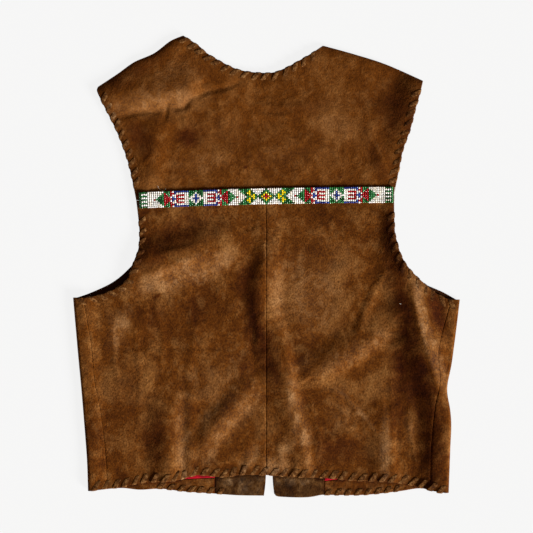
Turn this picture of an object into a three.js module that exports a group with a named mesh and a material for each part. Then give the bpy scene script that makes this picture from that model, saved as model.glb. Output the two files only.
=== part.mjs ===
import * as THREE from 'three';

// Beaded suede waistcoat, laid flat on its fronts with its back up.
// Millimetres. +Y runs from the hem to the neck, +Z up from the surface it lies on,
// and -X is the wearer's left. The origin is below the middle of the outline.

// Walls and gaps
const LEATHER = 1.5;
const FACING = 1.2;
const LACE = 1.0;
const BAND = 2.2;
const GAP = 0.3;
const HALF_GAP = GAP / 2;
const FACING_UNDERSIDE = LEATHER + GAP;
const FACING_TOP = FACING_UNDERSIDE + FACING;
const BACK_LEVEL = FACING_TOP + GAP + LEATHER;
const SHOULDER_LEVEL = LEATHER + GAP + LEATHER;

// Side folds, shoulders and inner layers
const FOLD_DEPTH = 5;
const FOLD_STEPS = 6;
const WRAP_COLUMNS = 3;
const SHOULDER_ROLL = 11;
const HEM_FACING_END = 2.5;

// Lacing round the free edges
const LACE_PITCH = 13.5;
const LACE_BAR = 6.2;
const LACE_EDGE = 0.5;
const LACE_SPINE = 2.2;
const LACE_SLANT = 5;
const TRIM_LIFT = 0.8;
const BACK_REACH = 11;
const FRONT_REACH = 8;

// Bead band, laid over the seam between the yoke and the lower back
const BAND_WIDTH = 21.6;
const BAND_COLUMNS = 34;
const BAND_ROWS = 2;

// Spacing and start height of the probes that find the cloth under a piece
const SEAT_PROBE = 1.5;
const PROBE_HEIGHT = 100;

// Grid counts
const SIDE_ROWS = 16;
const ARMHOLE_ROWS = 10;
const BACK_COLUMNS = 17;
const YOKE_ROWS = 14;
const SHOULDER_COLUMNS = 9;
const NECK_COLUMNS = 13;
const FRONT_COLUMNS = 6;
const FRONT_CHEST_ROWS = 16;
const INNER_COLUMNS = 4;
const INNER_SIDE_ROWS = 8;
const INNER_CHEST_ROWS = 8;

// Outline of the back, each table from the hem upwards or from left to right
const CENTRE_SEAM_X = -0.7;
const BACK_HEM_LEFT = [
  { x: -215.6, y: -299.7 }, { x: -197.8, y: -298.4 }, { x: -180.2, y: -294.3 },
  { x: -163.2, y: -291.3 }, { x: -124.1, y: -288.9 }, { x: -103.3, y: -283.5 },
  { x: -89.8, y: -281.5 }, { x: -57.9, y: -283.9 }, { x: -30.4, y: -280.7 },
  { x: CENTRE_SEAM_X, y: -281.5 },
];
const BACK_HEM_RIGHT = [
  { x: CENTRE_SEAM_X, y: -281.5 }, { x: 39.6, y: -283.9 }, { x: 77.6, y: -285.4 },
  { x: 116.4, y: -288.8 }, { x: 154.6, y: -290.1 }, { x: 182.5, y: -292.5 },
  { x: 201.3, y: -296.7 }, { x: 220.7, y: -301.7 },
];
const SIDE_SEAM_LEFT = [
  { x: -215.6, y: -299.7 }, { x: -216.7, y: -261.2 }, { x: -223.4, y: -200.5 },
  { x: -232.2, y: -153.2 }, { x: -236.9, y: -104.6 }, { x: -247.1, y: -42.5 },
];
const SIDE_SEAM_RIGHT = [
  { x: 220.7, y: -301.7 }, { x: 221.3, y: -251.8 }, { x: 226.1, y: -191.0 },
  { x: 232.9, y: -154.6 }, { x: 231.3, y: -115.4 }, { x: 241.0, y: -73.6 },
  { x: 249.8, y: -45.2 },
];
const ARMHOLE_LEFT_LOWER = [
  { x: -247.1, y: -42.5 }, { x: -226.7, y: -38.6 }, { x: -212.9, y: -33.8 },
  { x: -199.1, y: -26.9 }, { x: -187.4, y: -15.9 }, { x: -178.2, y: 8.8 },
  { x: -173.2, y: 22.3 }, { x: -171.6, y: 38.5 }, { x: -172.1, y: 56.0 },
  { x: -175.8, y: 89.1 - HALF_GAP },
];
const ARMHOLE_RIGHT_LOWER = [
  { x: 249.8, y: -45.2 }, { x: 240.0, y: -41.5 }, { x: 227.5, y: -35.0 },
  { x: 209.9, y: -20.3 }, { x: 196.4, y: -7.4 }, { x: 186.9, y: 4.7 },
  { x: 180.2, y: 18.2 }, { x: 176.1, y: 33.0 }, { x: 172.8, y: 49.3 },
  { x: 172.1, y: 96.8 - HALF_GAP },
];
const ARMHOLE_LEFT_UPPER = [
  { x: -175.8, y: 89.1 + HALF_GAP }, { x: -184.3, y: 130.3 }, { x: -192.4, y: 157.3 },
  { x: -203.2, y: 184.3 }, { x: -216.7, y: 211.3 }, { x: -223.4, y: 224.8 },
  { x: -228.8, y: 236.9 }, { x: -227.5, y: 243.0 },
];
const ARMHOLE_RIGHT_UPPER = [
  { x: 172.1, y: 96.8 + HALF_GAP }, { x: 178.8, y: 130.3 }, { x: 184.2, y: 157.3 },
  { x: 193.7, y: 184.3 }, { x: 200.4, y: 211.3 }, { x: 204.5, y: 224.8 },
  { x: 211.3, y: 251.0 },
];
const SHOULDER_LEFT = [
  { x: -227.5, y: 243.0 }, { x: -201.8, y: 259.9 }, { x: -178.9, y: 276.1 },
  { x: -151.9, y: 288.2 }, { x: -130.3, y: 304.4 }, { x: -112.7, y: 312.1 },
];
const SHOULDER_RIGHT = [
  { x: 76.3, y: 298.4 }, { x: 118.1, y: 286.9 }, { x: 161.3, y: 273.0 },
  { x: 211.3, y: 251.0 },
];
const NECK = [
  { x: -112.7, y: 312.1 }, { x: -91.1, y: 297.7 }, { x: -77.6, y: 286.2 },
  { x: -39.8, y: 266.6 }, { x: -0.7, y: 261.5 }, { x: 20.9, y: 266.0 },
  { x: 54.7, y: 284.2 }, { x: 76.3, y: 298.4 },
];
const YOKE_SEAM_LEFT = [
  { x: -175.8, y: 89.1 }, { x: -86.0, y: 92.5 }, { x: CENTRE_SEAM_X, y: 94.8 },
];
const YOKE_SEAM_RIGHT = [
  { x: CENTRE_SEAM_X, y: 94.8 }, { x: 86.0, y: 96.3 }, { x: 172.1, y: 96.8 },
];

// Outline of the fronts: the rounded side, the hem, the armhole and the front edge
const SIDE_EDGE_LEFT = [
  { x: -241.0, y: -302.8 }, { x: -242.3, y: -263.9 }, { x: -245.0, y: -226.1 },
  { x: -250.4, y: -161.3 }, { x: -254.5, y: -118.1 }, { x: -261.2, y: -41.9 },
];
const SIDE_EDGE_RIGHT = [
  { x: 245.8, y: -304.8 }, { x: 247.7, y: -247.7 }, { x: 249.0, y: -215.3 },
  { x: 247.7, y: -193.7 }, { x: 243.6, y: -164.0 }, { x: 250.4, y: -128.9 },
  { x: 257.1, y: -79.0 }, { x: 261.2, y: -44.6 },
];
const FRONT_HEM_LEFT = [
  { x: -236.0, y: -302.8 }, { x: -197.8, y: -299.4 }, { x: -171.2, y: -301.6 },
  { x: -142.4, y: -300.4 }, { x: -111.9, y: -304.0 }, { x: -74.0, y: -306.6 },
  { x: -37.4, y: -309.2 }, { x: -3.4, y: -309.6 },
];
const FRONT_HEM_RIGHT = [
  { x: 10.2, y: -306.5 }, { x: 13.5, y: -310.2 }, { x: 21.5, y: -311.3 },
  { x: 43.1, y: -312.1 }, { x: 59.0, y: -311.5 }, { x: 74.0, y: -308.7 },
  { x: 130.8, y: -308.7 }, { x: 179.7, y: -303.6 }, { x: 208.6, y: -299.8 },
  { x: 240.8, y: -304.8 },
];
const FRONT_ARMHOLE_LEFT = [
  { x: -256.2, y: -41.9 }, { x: -236.9, y: -35.1 }, { x: -209.4, y: -22.1 },
  { x: -188.7, y: -5.5 }, { x: -176.0, y: 12.0 }, { x: -168.5, y: 50.0 },
  { x: -172.0, y: 100.0 }, { x: -190.0, y: 160.0 }, { x: -214.0, y: 213.0 },
  { x: -227.5, y: 243.0 },
];
const FRONT_ARMHOLE_RIGHT = [
  { x: 256.2, y: -44.6 }, { x: 235.0, y: -33.0 }, { x: 206.0, y: -21.5 },
  { x: 182.0, y: 3.0 }, { x: 170.5, y: 33.0 }, { x: 166.0, y: 75.0 },
  { x: 170.0, y: 115.0 }, { x: 182.0, y: 162.0 }, { x: 196.0, y: 212.0 },
  { x: 211.3, y: 251.0 },
];
const FRONT_EDGE_LEFT = [
  { x: -3.4, y: -309.6 }, { x: -0.8, y: -282.0 }, { x: -0.8, y: -220.0 }, { x: -0.8, y: 10.0 },
];
const FRONT_EDGE_RIGHT = [
  { x: 10.2, y: -306.5 }, { x: 8.1, y: -282.0 }, { x: 7.2, y: -220.0 }, { x: 7.2, y: 10.0 },
];
const FRONT_NECK_LEFT = [{ x: -0.8, y: 10.0 }, { x: -50.0, y: 150.0 }, { x: -112.7, y: 312.1 }];
const FRONT_NECK_RIGHT = [{ x: 7.2, y: 10.0 }, { x: 38.0, y: 150.0 }, { x: 76.3, y: 298.4 }];

// Facings and linings inside the fronts, all from the hem upwards
const FACING_NECK_LEFT = [{ x: -0.8, y: 10.0 }, { x: -50.0, y: 150.0 }, { x: -108.5, y: 296.0 }];
const FACING_NECK_RIGHT = [{ x: 7.2, y: 10.0 }, { x: 38.0, y: 150.0 }, { x: 74.0, y: 281.0 }];
const FACING_EDGE_LEFT = [{ x: -69.5, y: -306.9 }, { x: -69.5, y: 10.0 }];
const FACING_EDGE_RIGHT = [{ x: 78.2, y: -308.6 }, { x: 78.2, y: 10.0 }];
const FACING_CHEST_LEFT = [{ x: -69.5, y: 10.0 }, { x: -95.0, y: 120.0 }, { x: -143.5, y: 277.0 }];
const FACING_CHEST_RIGHT = [{ x: 78.2, y: 10.0 }, { x: 86.0, y: 120.0 }, { x: 108.0, y: 274.0 }];
// Width of each hem facing at places across it
const HEM_FACING_LEFT = [
  { x: -233.5, width: 17.0 }, { x: -116.0, width: 16.4 }, { x: -69.8, width: 21.5 },
];
const HEM_FACING_RIGHT = [
  { x: 78.5, width: 18.7 }, { x: 102.0, width: 22.2 }, { x: 238.3, width: 22.2 },
];
const LINING_SIDE_LEFT = [
  { x: -233.5, y: -285.3 }, { x: -240.0, y: -215.0 }, { x: -244.0, y: -150.0 },
  { x: -251.0, y: -62.0 },
];
const LINING_SIDE_RIGHT = [
  { x: 238.3, y: -282.3 }, { x: 240.5, y: -215.0 }, { x: 235.0, y: -164.0 },
  { x: 242.0, y: -129.0 }, { x: 250.0, y: -64.0 },
];
const LINING_ARMHOLE_LEFT = [
  { x: -251.0, y: -62.0 }, { x: -228.0, y: -50.0 }, { x: -196.0, y: -34.0 },
  { x: -164.0, y: 4.0 }, { x: -152.0, y: 50.0 }, { x: -156.0, y: 98.0 },
  { x: -174.0, y: 156.0 }, { x: -208.0, y: 232.0 },
];
const LINING_ARMHOLE_RIGHT = [
  { x: 250.0, y: -64.0 }, { x: 226.0, y: -50.0 }, { x: 196.0, y: -36.0 },
  { x: 162.0, y: 6.0 }, { x: 151.0, y: 70.0 }, { x: 154.0, y: 118.0 },
  { x: 166.0, y: 168.0 }, { x: 188.0, y: 238.0 },
];

// Centre line of the bead band, and the edges that are laced, clear of the band's ends
const BAND_LINE = [
  { x: -172.1, y: 89.3 }, { x: -86.0, y: 92.5 }, { x: CENTRE_SEAM_X, y: 94.8 },
  { x: 86.0, y: 96.3 }, { x: 170.9, y: 96.8 },
];
const LACED_LEFT_LOWER = [...ARMHOLE_LEFT_LOWER.slice(0, -1), { x: -173.8, y: 73.5 }];
const LACED_LEFT_UPPER = [{ x: -178.2, y: 103.0 }, ...ARMHOLE_LEFT_UPPER.slice(1)];
const LACED_RIGHT_LOWER = [...ARMHOLE_RIGHT_LOWER.slice(0, -1), { x: 172.4, y: 81.5 }];
const LACED_RIGHT_UPPER = [{ x: 173.9, y: 111.0 }, ...ARMHOLE_RIGHT_UPPER.slice(1)];
const BACK_HEM_LACE = [
  { x: -232.0, y: -302.1 }, ...BACK_HEM_LEFT, ...BACK_HEM_RIGHT.slice(1), { x: 236.0, y: -304.0 },
];
// Where the lacing of each front's hem starts and ends
const FRONT_LACE_LEFT = [{ x: -150.0, y: -300.7 }, { x: -50.0, y: -308.3 }];
const FRONT_LACE_RIGHT = [{ x: 76.0, y: -308.7 }, { x: 186.0, y: -302.8 }];

// Largest folds of the back. Each crest is a line of points with the height it rises to.
// left and right are the widths of its two slopes, seen along the crest.
const FOLDS = [
  { left: 34, right: 46, crest: [
    { x: 183, y: 10, rise: 3.5 }, { x: 197, y: -28, rise: 8 }, { x: 202, y: -52, rise: 10 },
    { x: 210, y: -94, rise: 12 }, { x: 219, y: -122, rise: 13 }, { x: 228, y: -153, rise: 13 },
    { x: 236, y: -190, rise: 13 }, { x: 241, y: -221, rise: 12 }, { x: 239.6, y: -302, rise: 8 }] },
  { left: 26, right: 22, crest: [
    { x: 170.8, y: 80, rise: 3 }, { x: 172.1, y: 42, rise: 5 }, { x: 191, y: -2, rise: 4 }] },
  { left: 45, right: 38, crest: [
    { x: 207, y: 245, rise: 7 }, { x: 199, y: 211, rise: 8 }, { x: 187, y: 171, rise: 3.5 }] },
  { left: 20, right: 26, crest: [
    { x: -246.4, y: -45, rise: 4 }, { x: -243.7, y: -113, rise: 3 },
    { x: -235.6, y: -180, rise: 3.5 }, { x: -232.9, y: -302, rise: 3 }] },
  { left: 34, right: 28, crest: [
    { x: 0, y: 52, rise: 1.5 }, { x: 1, y: 22, rise: 4.5 }, { x: -6, y: -20, rise: 6.5 },
    { x: -8, y: -50, rise: 7 }, { x: -3, y: -82, rise: 4.5 }, { x: 6, y: -108, rise: 1.5 },
    { x: 12, y: -126, rise: 0.3 }] },
  { left: 15, right: 46, crest: [
    { x: 4, y: -58, rise: 0.5 }, { x: 16, y: -86, rise: 4 }, { x: 24, y: -116, rise: 7 },
    { x: 31, y: -146, rise: 6.5 }, { x: 36, y: -174, rise: 2.5 }, { x: 38, y: -190, rise: 0.5 }] },
  { left: 15, right: 34, crest: [
    { x: 26, y: -150, rise: 2 }, { x: 35, y: -190, rise: 4.2 }, { x: 44, y: -226, rise: 4.4 },
    { x: 52, y: -266, rise: 4 }, { x: 56, y: -292, rise: 3 }] },
  { left: 40, right: 24, crest: [
    { x: 69.5, y: -144, rise: 4.5 }, { x: 106, y: -122, rise: 5.5 },
    { x: 137, y: -101, rise: 5 }, { x: 164, y: -79, rise: 2 }] },
  { left: 36, right: 50, crest: [
    { x: -170.8, y: -2, rise: 4 }, { x: -154.6, y: 7, rise: 7.5 },
    { x: -116.8, y: 18, rise: 8.5 }, { x: -83, y: 28, rise: 7.5 }, { x: -46.6, y: 41, rise: 3.5 }] },
  { left: 40, right: 24, crest: [
    { x: -214, y: 227, rise: 3.5 }, { x: -177.5, y: 230, rise: 4.6 },
    { x: -139.7, y: 231, rise: 5 }, { x: -107.3, y: 242, rise: 5 }] },
  { left: 25, right: 30, crest: [
    { x: -146.5, y: 184, rise: 3.3 }, { x: -150.5, y: 157, rise: 4 },
    { x: -154.6, y: 128, rise: 3.3 }] },
  { left: 22, right: 34, crest: [
    { x: -127.6, y: -167, rise: 1.5 }, { x: -133, y: -207, rise: 5 },
    { x: -133, y: -248, rise: 6 }, { x: -131.6, y: -290, rise: 5 }] },
  { left: 26, right: 24, crest: [
    { x: -26.3, y: -164, rise: 3 }, { x: -56, y: -200, rise: 4.5 }, { x: -83, y: -234, rise: 4 }] },
  { left: 16, right: 36, crest: [
    { x: 160, y: -200, rise: 2.2 }, { x: 164, y: -248, rise: 4.6 },
    { x: 169.4, y: -290, rise: 4 }] },
  { left: 50, right: 50, crest: [
    { x: -10, y: 262, rise: -2.4 }, { x: -10, y: 200, rise: -1.5 }] },
];

const SUEDE = new THREE.MeshStandardMaterial({ color: 0x633a18, roughness: 0.95, metalness: 0 });
const THONG = new THREE.MeshStandardMaterial({ color: 0x5a3c20, roughness: 0.8, metalness: 0 });
const RED_CLOTH = new THREE.MeshStandardMaterial({ color: 0x8e1a1e, roughness: 0.85, metalness: 0 });
const BEADS = new THREE.MeshStandardMaterial({ color: 0xd8d4cc, roughness: 0.35, metalness: 0 });

// Height of one fold at a point: a smooth swell that falls to nothing at its slope's width.
function foldHeight({ crest, left, right }, point) {
  let height = 0;
  let nearest = Infinity;
  for (let k = 1; k < crest.length; k += 1) {
    const start = new THREE.Vector2(crest[k - 1].x, crest[k - 1].y);
    const along = new THREE.Vector2(crest[k].x, crest[k].y).sub(start);
    const offset = point.clone().sub(start);
    const share = THREE.MathUtils.clamp(offset.dot(along) / along.lengthSq(), 0, 1);
    const away = offset.clone().addScaledVector(along, -share);
    const distance = away.length();
    if (distance < nearest) {
      nearest = distance;
      const width = along.cross(offset) > 0 ? left : right;
      const rise = THREE.MathUtils.lerp(crest[k - 1].rise, crest[k].rise, share);
      const fall = Math.min(distance / width, 1);
      height = rise * (0.5 + 0.5 * Math.cos(Math.PI * fall));
    }
  }
  return height;
}

function distanceTo(table, point) {
  const segments = table.slice(1).map((end, k) => {
    const start = new THREE.Vector2(table[k].x, table[k].y);
    const along = new THREE.Vector2(end.x, end.y).sub(start);
    const offset = point.clone().sub(start);
    const share = THREE.MathUtils.clamp(offset.dot(along) / along.lengthSq(), 0, 1);
    return offset.addScaledVector(along, -share).length();
  });
  return Math.min(...segments);
}

// Top face of the back: its level, the folds, and the roll down to the shoulder seams.
function backTop(point) {
  const swell = FOLDS.reduce((sum, fold) => sum + foldHeight(fold, point), 0);
  const toShoulder = Math.min(distanceTo(SHOULDER_LEFT, point), distanceTo(SHOULDER_RIGHT, point));
  const roll = Math.min(toShoulder / SHOULDER_ROLL, 1);
  const arch = Math.sqrt(1 - (1 - roll) ** 2);
  return THREE.MathUtils.lerp(SHOULDER_LEVEL, BACK_LEVEL + swell, arch);
}

// A table of points as a smooth line, cut into equal steps
function smooth(table, steps) {
  const points = table.map(({ x, y }) => new THREE.Vector2(x, y));
  return new THREE.SplineCurve(points).getSpacedPoints(steps);
}

function chain(...lines) {
  return lines.flatMap((line, k) => (k === 0 ? line : line.slice(1)));
}

function shift(line, x, y) {
  return line.map((point) => new THREE.Vector2(point.x + x, point.y + y));
}

// Fill the space between four lines with rows of points, from bottom to top.
function patch({ bottom, top, left, right }) {
  const rowCount = left.length - 1;
  const columnCount = bottom.length - 1;
  return left.map((leftPoint, i) => bottom.map((bottomPoint, j) => {
    const v = i / rowCount;
    const u = j / columnCount;
    const across = leftPoint.clone().lerp(right[i], u);
    const upward = bottomPoint.clone().lerp(top[j], v);
    const lowCorner = bottom[0].clone().lerp(bottom[columnCount], u);
    const highCorner = top[0].clone().lerp(top[columnCount], u);
    return across.add(upward).sub(lowCorner.lerp(highCorner, v));
  }));
}

// Closed wall between an outer and an inner face. A null entry is a place with no cloth,
// and so is a cell that isn't kept.
function wall(rows, keep = () => true) {
  const positions = [];
  const indices = [];
  const corners = rows.map((row) => row.map((entry) => {
    if (entry === null) return null;
    const outer = positions.push(entry.outer) - 1;
    const inner = positions.push(entry.inner) - 1;
    return { outer, inner };
  }));
  const cellCorners = (i, j) => {
    if (i < 0 || j < 0 || i >= rows.length - 1 || j >= rows[i].length - 1) return null;
    if (!keep(i, j)) return null;
    const cell = [corners[i][j], corners[i][j + 1], corners[i + 1][j + 1], corners[i + 1][j]];
    return cell.includes(null) ? null : cell;
  };
  const quad = (a, b, c, d) => indices.push(a, b, c, a, c, d);
  for (let i = 0; i < rows.length - 1; i += 1) {
    for (let j = 0; j < rows[i].length - 1; j += 1) {
      const cell = cellCorners(i, j);
      if (cell === null) continue;
      const [a, b, c, d] = cell;
      quad(a.outer, b.outer, c.outer, d.outer);
      quad(a.inner, d.inner, c.inner, b.inner);
      const sides = [
        { from: a, to: b, beyond: cellCorners(i - 1, j) },
        { from: b, to: c, beyond: cellCorners(i, j + 1) },
        { from: c, to: d, beyond: cellCorners(i + 1, j) },
        { from: d, to: a, beyond: cellCorners(i, j - 1) },
      ];
      sides.filter(({ beyond }) => beyond === null).forEach(({ from, to }) => {
        quad(from.inner, to.inner, to.outer, from.outer);
      });
    }
  }
  if (signedVolume(positions, indices) < 0) indices.reverse();
  const geometry = new THREE.BufferGeometry().setFromPoints(positions);
  geometry.setIndex(indices);
  geometry.computeVertexNormals();
  return geometry;
}

function signedVolume(positions, indices) {
  let volume = 0;
  for (let k = 0; k < indices.length; k += 3) {
    const [a, b, c] = [positions[indices[k]], positions[indices[k + 1]], positions[indices[k + 2]]];
    volume += a.dot(b.clone().cross(c)) / 6;
  }
  return volume;
}

// A layer between two heights, each given as a function of the point
function layer(rows, outerHeight, innerHeight, keep) {
  return wall(rows.map((row) => row.map((point) => ({
    outer: new THREE.Vector3(point.x, point.y, outerHeight(point)),
    inner: new THREE.Vector3(point.x, point.y, innerHeight(point)),
  }))), keep);
}

function backPanel(bounds) {
  return layer(patch(bounds), backTop, (point) => backTop(point) - LEATHER);
}

function innerPanel(bounds) {
  return layer(patch(bounds), () => FACING_TOP, () => FACING_UNDERSIDE);
}

function yoke() {
  const columns = SHOULDER_COLUMNS * 2 + NECK_COLUMNS;
  const half = Math.floor(columns / 2);
  return backPanel({
    bottom: shift(chain(smooth(YOKE_SEAM_LEFT, half), smooth(YOKE_SEAM_RIGHT, columns - half)),
      0, HALF_GAP),
    top: chain(smooth(SHOULDER_LEFT, SHOULDER_COLUMNS), smooth(NECK, NECK_COLUMNS),
      smooth(SHOULDER_RIGHT, SHOULDER_COLUMNS)),
    left: smooth(ARMHOLE_LEFT_UPPER, YOKE_ROWS),
    right: smooth(ARMHOLE_RIGHT_UPPER, YOKE_ROWS),
  });
}

// The centre seam from the hem to the yoke, on the given side of its gap
function centreSeam(side) {
  const rows = SIDE_ROWS + ARMHOLE_ROWS;
  const bottom = BACK_HEM_RIGHT[0].y;
  const top = YOKE_SEAM_RIGHT[0].y - HALF_GAP;
  return Array.from({ length: rows + 1 }, (_, i) => new THREE.Vector2(
    CENTRE_SEAM_X + side * HALF_GAP, THREE.MathUtils.lerp(bottom, top, i / rows)));
}

function lowerBackLeft() {
  const side = shift(smooth(SIDE_SEAM_LEFT, SIDE_ROWS), HALF_GAP, 0);
  return backPanel({
    bottom: smooth(BACK_HEM_LEFT, BACK_COLUMNS),
    top: shift(smooth(YOKE_SEAM_LEFT, BACK_COLUMNS), 0, -HALF_GAP),
    left: chain(side, smooth(ARMHOLE_LEFT_LOWER, ARMHOLE_ROWS)),
    right: centreSeam(-1),
  });
}

function lowerBackRight() {
  const side = shift(smooth(SIDE_SEAM_RIGHT, SIDE_ROWS), -HALF_GAP, 0);
  return backPanel({
    bottom: smooth(BACK_HEM_RIGHT, BACK_COLUMNS),
    top: shift(smooth(YOKE_SEAM_RIGHT, BACK_COLUMNS), 0, -HALF_GAP),
    left: centreSeam(1),
    right: chain(side, smooth(ARMHOLE_RIGHT_LOWER, ARMHOLE_ROWS)),
  });
}

// One section of a front from its seam on the back face, round the side fold.
// side is -1 on the left and 1 on the right.
function wrapSection(edge, seam, side) {
  const foldStart = new THREE.Vector2(edge.x - side * FOLD_DEPTH, edge.y);
  const flat = Array.from({ length: WRAP_COLUMNS }, (_, k) => {
    const point = seam.clone().lerp(foldStart, k / WRAP_COLUMNS);
    const top = backTop(point);
    return {
      outer: new THREE.Vector3(point.x, point.y, top),
      inner: new THREE.Vector3(point.x, point.y, top - LEATHER),
    };
  });
  const middle = backTop(foldStart) / 2;
  const fold = Array.from({ length: FOLD_STEPS }, (_, k) => {
    const turn = Math.PI * (0.5 - k / FOLD_STEPS);
    const at = (depth, height) => new THREE.Vector3(
      foldStart.x + side * depth * Math.cos(turn), foldStart.y,
      middle + height * Math.sin(turn));
    return { outer: at(FOLD_DEPTH, middle), inner: at(FOLD_DEPTH - LEATHER, middle - LEATHER) };
  });
  return [...flat, ...fold];
}

// A front: its flat panel lies on the surface, and below the armhole it goes round the side.
function front({ flat, edge, seam, side }) {
  const panel = patch(flat).map((row) => (side < 0 ? row : [...row].reverse()));
  const rows = panel.map((row, i) => {
    const lying = row.map(({ x, y }) => ({
      outer: new THREE.Vector3(x, y, 0),
      inner: new THREE.Vector3(x, y, LEATHER),
    }));
    const wrapped = i < edge.length
      ? wrapSection(edge[i], seam[i], side)
      : Array(WRAP_COLUMNS + FOLD_STEPS).fill(null);
    return [...wrapped, ...lying];
  });
  return wall(rows);
}

function frontLeft() {
  const edge = smooth(SIDE_EDGE_LEFT, SIDE_ROWS);
  return front({
    side: -1,
    edge,
    seam: shift(smooth(SIDE_SEAM_LEFT, SIDE_ROWS), -HALF_GAP, 0),
    flat: {
      bottom: smooth(FRONT_HEM_LEFT, FRONT_COLUMNS * 2),
      top: smooth(SHOULDER_LEFT, FRONT_COLUMNS * 2),
      left: chain(shift(edge, FOLD_DEPTH, 0), smooth(FRONT_ARMHOLE_LEFT, FRONT_CHEST_ROWS)),
      right: chain(smooth(FRONT_EDGE_LEFT, SIDE_ROWS), smooth(FRONT_NECK_LEFT, FRONT_CHEST_ROWS)),
    },
  });
}

function frontRight() {
  const edge = smooth(SIDE_EDGE_RIGHT, SIDE_ROWS);
  return front({
    side: 1,
    edge,
    seam: shift(smooth(SIDE_SEAM_RIGHT, SIDE_ROWS), HALF_GAP, 0),
    flat: {
      bottom: smooth(FRONT_HEM_RIGHT, FRONT_COLUMNS * 2),
      top: smooth(SHOULDER_RIGHT, FRONT_COLUMNS * 2),
      left: chain(smooth(FRONT_EDGE_RIGHT, SIDE_ROWS), smooth(FRONT_NECK_RIGHT, FRONT_CHEST_ROWS)),
      right: chain(shift(edge, -FOLD_DEPTH, 0), smooth(FRONT_ARMHOLE_RIGHT, FRONT_CHEST_ROWS)),
    },
  });
}

// The part of a hem table between two places, ending exactly at them
function hemBetween(hem, start, end) {
  return [start, ...hem.filter(({ x }) => x > start.x && x < end.x), end];
}

function frontFacingLeft() {
  const hem = hemBetween(FRONT_HEM_LEFT, FACING_EDGE_LEFT[0], FRONT_EDGE_LEFT[0]);
  const left = chain(smooth(FACING_EDGE_LEFT, INNER_SIDE_ROWS),
    smooth(FACING_CHEST_LEFT, INNER_CHEST_ROWS));
  const right = chain(smooth(FRONT_EDGE_LEFT, INNER_SIDE_ROWS),
    smooth(FACING_NECK_LEFT, INNER_CHEST_ROWS));
  const top = smooth([FACING_CHEST_LEFT.at(-1), FACING_NECK_LEFT.at(-1)], INNER_COLUMNS);
  return innerPanel({ bottom: smooth(hem, INNER_COLUMNS), top, left, right });
}

function frontFacingRight() {
  const hem = hemBetween(FRONT_HEM_RIGHT, FRONT_EDGE_RIGHT[0], FACING_EDGE_RIGHT[0]);
  const left = chain(smooth(FRONT_EDGE_RIGHT, INNER_SIDE_ROWS),
    smooth(FACING_NECK_RIGHT, INNER_CHEST_ROWS));
  const right = chain(smooth(FACING_EDGE_RIGHT, INNER_SIDE_ROWS),
    smooth(FACING_CHEST_RIGHT, INNER_CHEST_ROWS));
  const top = smooth([FACING_NECK_RIGHT.at(-1), FACING_CHEST_RIGHT.at(-1)], INNER_COLUMNS);
  return innerPanel({ bottom: smooth(hem, INNER_COLUMNS), top, left, right });
}

// Lines along the hem facing: its hem edge, and its upper edge where the lining begins
function hemFacingLine(side) {
  if (side < 0) {
    const start = { x: FRONT_HEM_LEFT[0].x + HEM_FACING_END, y: FRONT_HEM_LEFT[0].y };
    const end = { x: FACING_EDGE_LEFT[0].x - GAP, y: FACING_EDGE_LEFT[0].y };
    return smooth(hemBetween(FRONT_HEM_LEFT, start, end), INNER_COLUMNS * 2);
  }
  const start = { x: FACING_EDGE_RIGHT[0].x + GAP, y: FACING_EDGE_RIGHT[0].y };
  const last = FRONT_HEM_RIGHT.at(-1);
  const end = { x: last.x - HEM_FACING_END, y: last.y };
  return smooth(hemBetween(FRONT_HEM_RIGHT, start, end), INNER_COLUMNS * 2);
}

function widthAt(table, x) {
  const found = table.findIndex((row) => row.x >= x);
  const next = found < 0 ? table.length - 1 : Math.max(1, found);
  const from = table[next - 1];
  const to = table[next];
  return THREE.MathUtils.mapLinear(x, from.x, to.x, from.width, to.width);
}

function hemFacingTop(side) {
  const widths = side < 0 ? HEM_FACING_LEFT : HEM_FACING_RIGHT;
  return hemFacingLine(side).map(
    ({ x, y }) => new THREE.Vector2(x, y + widthAt(widths, x)));
}

function hemFacing(side) {
  const hem = hemFacingLine(side);
  return layer([hem, hemFacingTop(side)], () => FACING_TOP, () => FACING_UNDERSIDE);
}

function liningLeft() {
  const left = chain(smooth(LINING_SIDE_LEFT, INNER_SIDE_ROWS),
    smooth(LINING_ARMHOLE_LEFT, INNER_CHEST_ROWS));
  const right = shift(chain(smooth(FACING_EDGE_LEFT, INNER_SIDE_ROWS),
    smooth(FACING_CHEST_LEFT, INNER_CHEST_ROWS)), -GAP, 0);
  const bottom = shift(hemFacingTop(-1), 0, GAP);
  right[0] = bottom.at(-1);
  left[0] = bottom[0];
  return innerPanel({ bottom, top: smooth([left.at(-1), right.at(-1)], INNER_COLUMNS * 2),
    left, right });
}

function liningRight() {
  const left = shift(chain(smooth(FACING_EDGE_RIGHT, INNER_SIDE_ROWS),
    smooth(FACING_CHEST_RIGHT, INNER_CHEST_ROWS)), GAP, 0);
  const right = chain(smooth(LINING_SIDE_RIGHT, INNER_SIDE_ROWS),
    smooth(LINING_ARMHOLE_RIGHT, INNER_CHEST_ROWS));
  const bottom = shift(hemFacingTop(1), 0, GAP);
  left[0] = bottom[0];
  right[0] = bottom.at(-1);
  return innerPanel({ bottom, top: smooth([left.at(-1), right.at(-1)], INNER_COLUMNS * 2),
    left, right });
}

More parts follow.
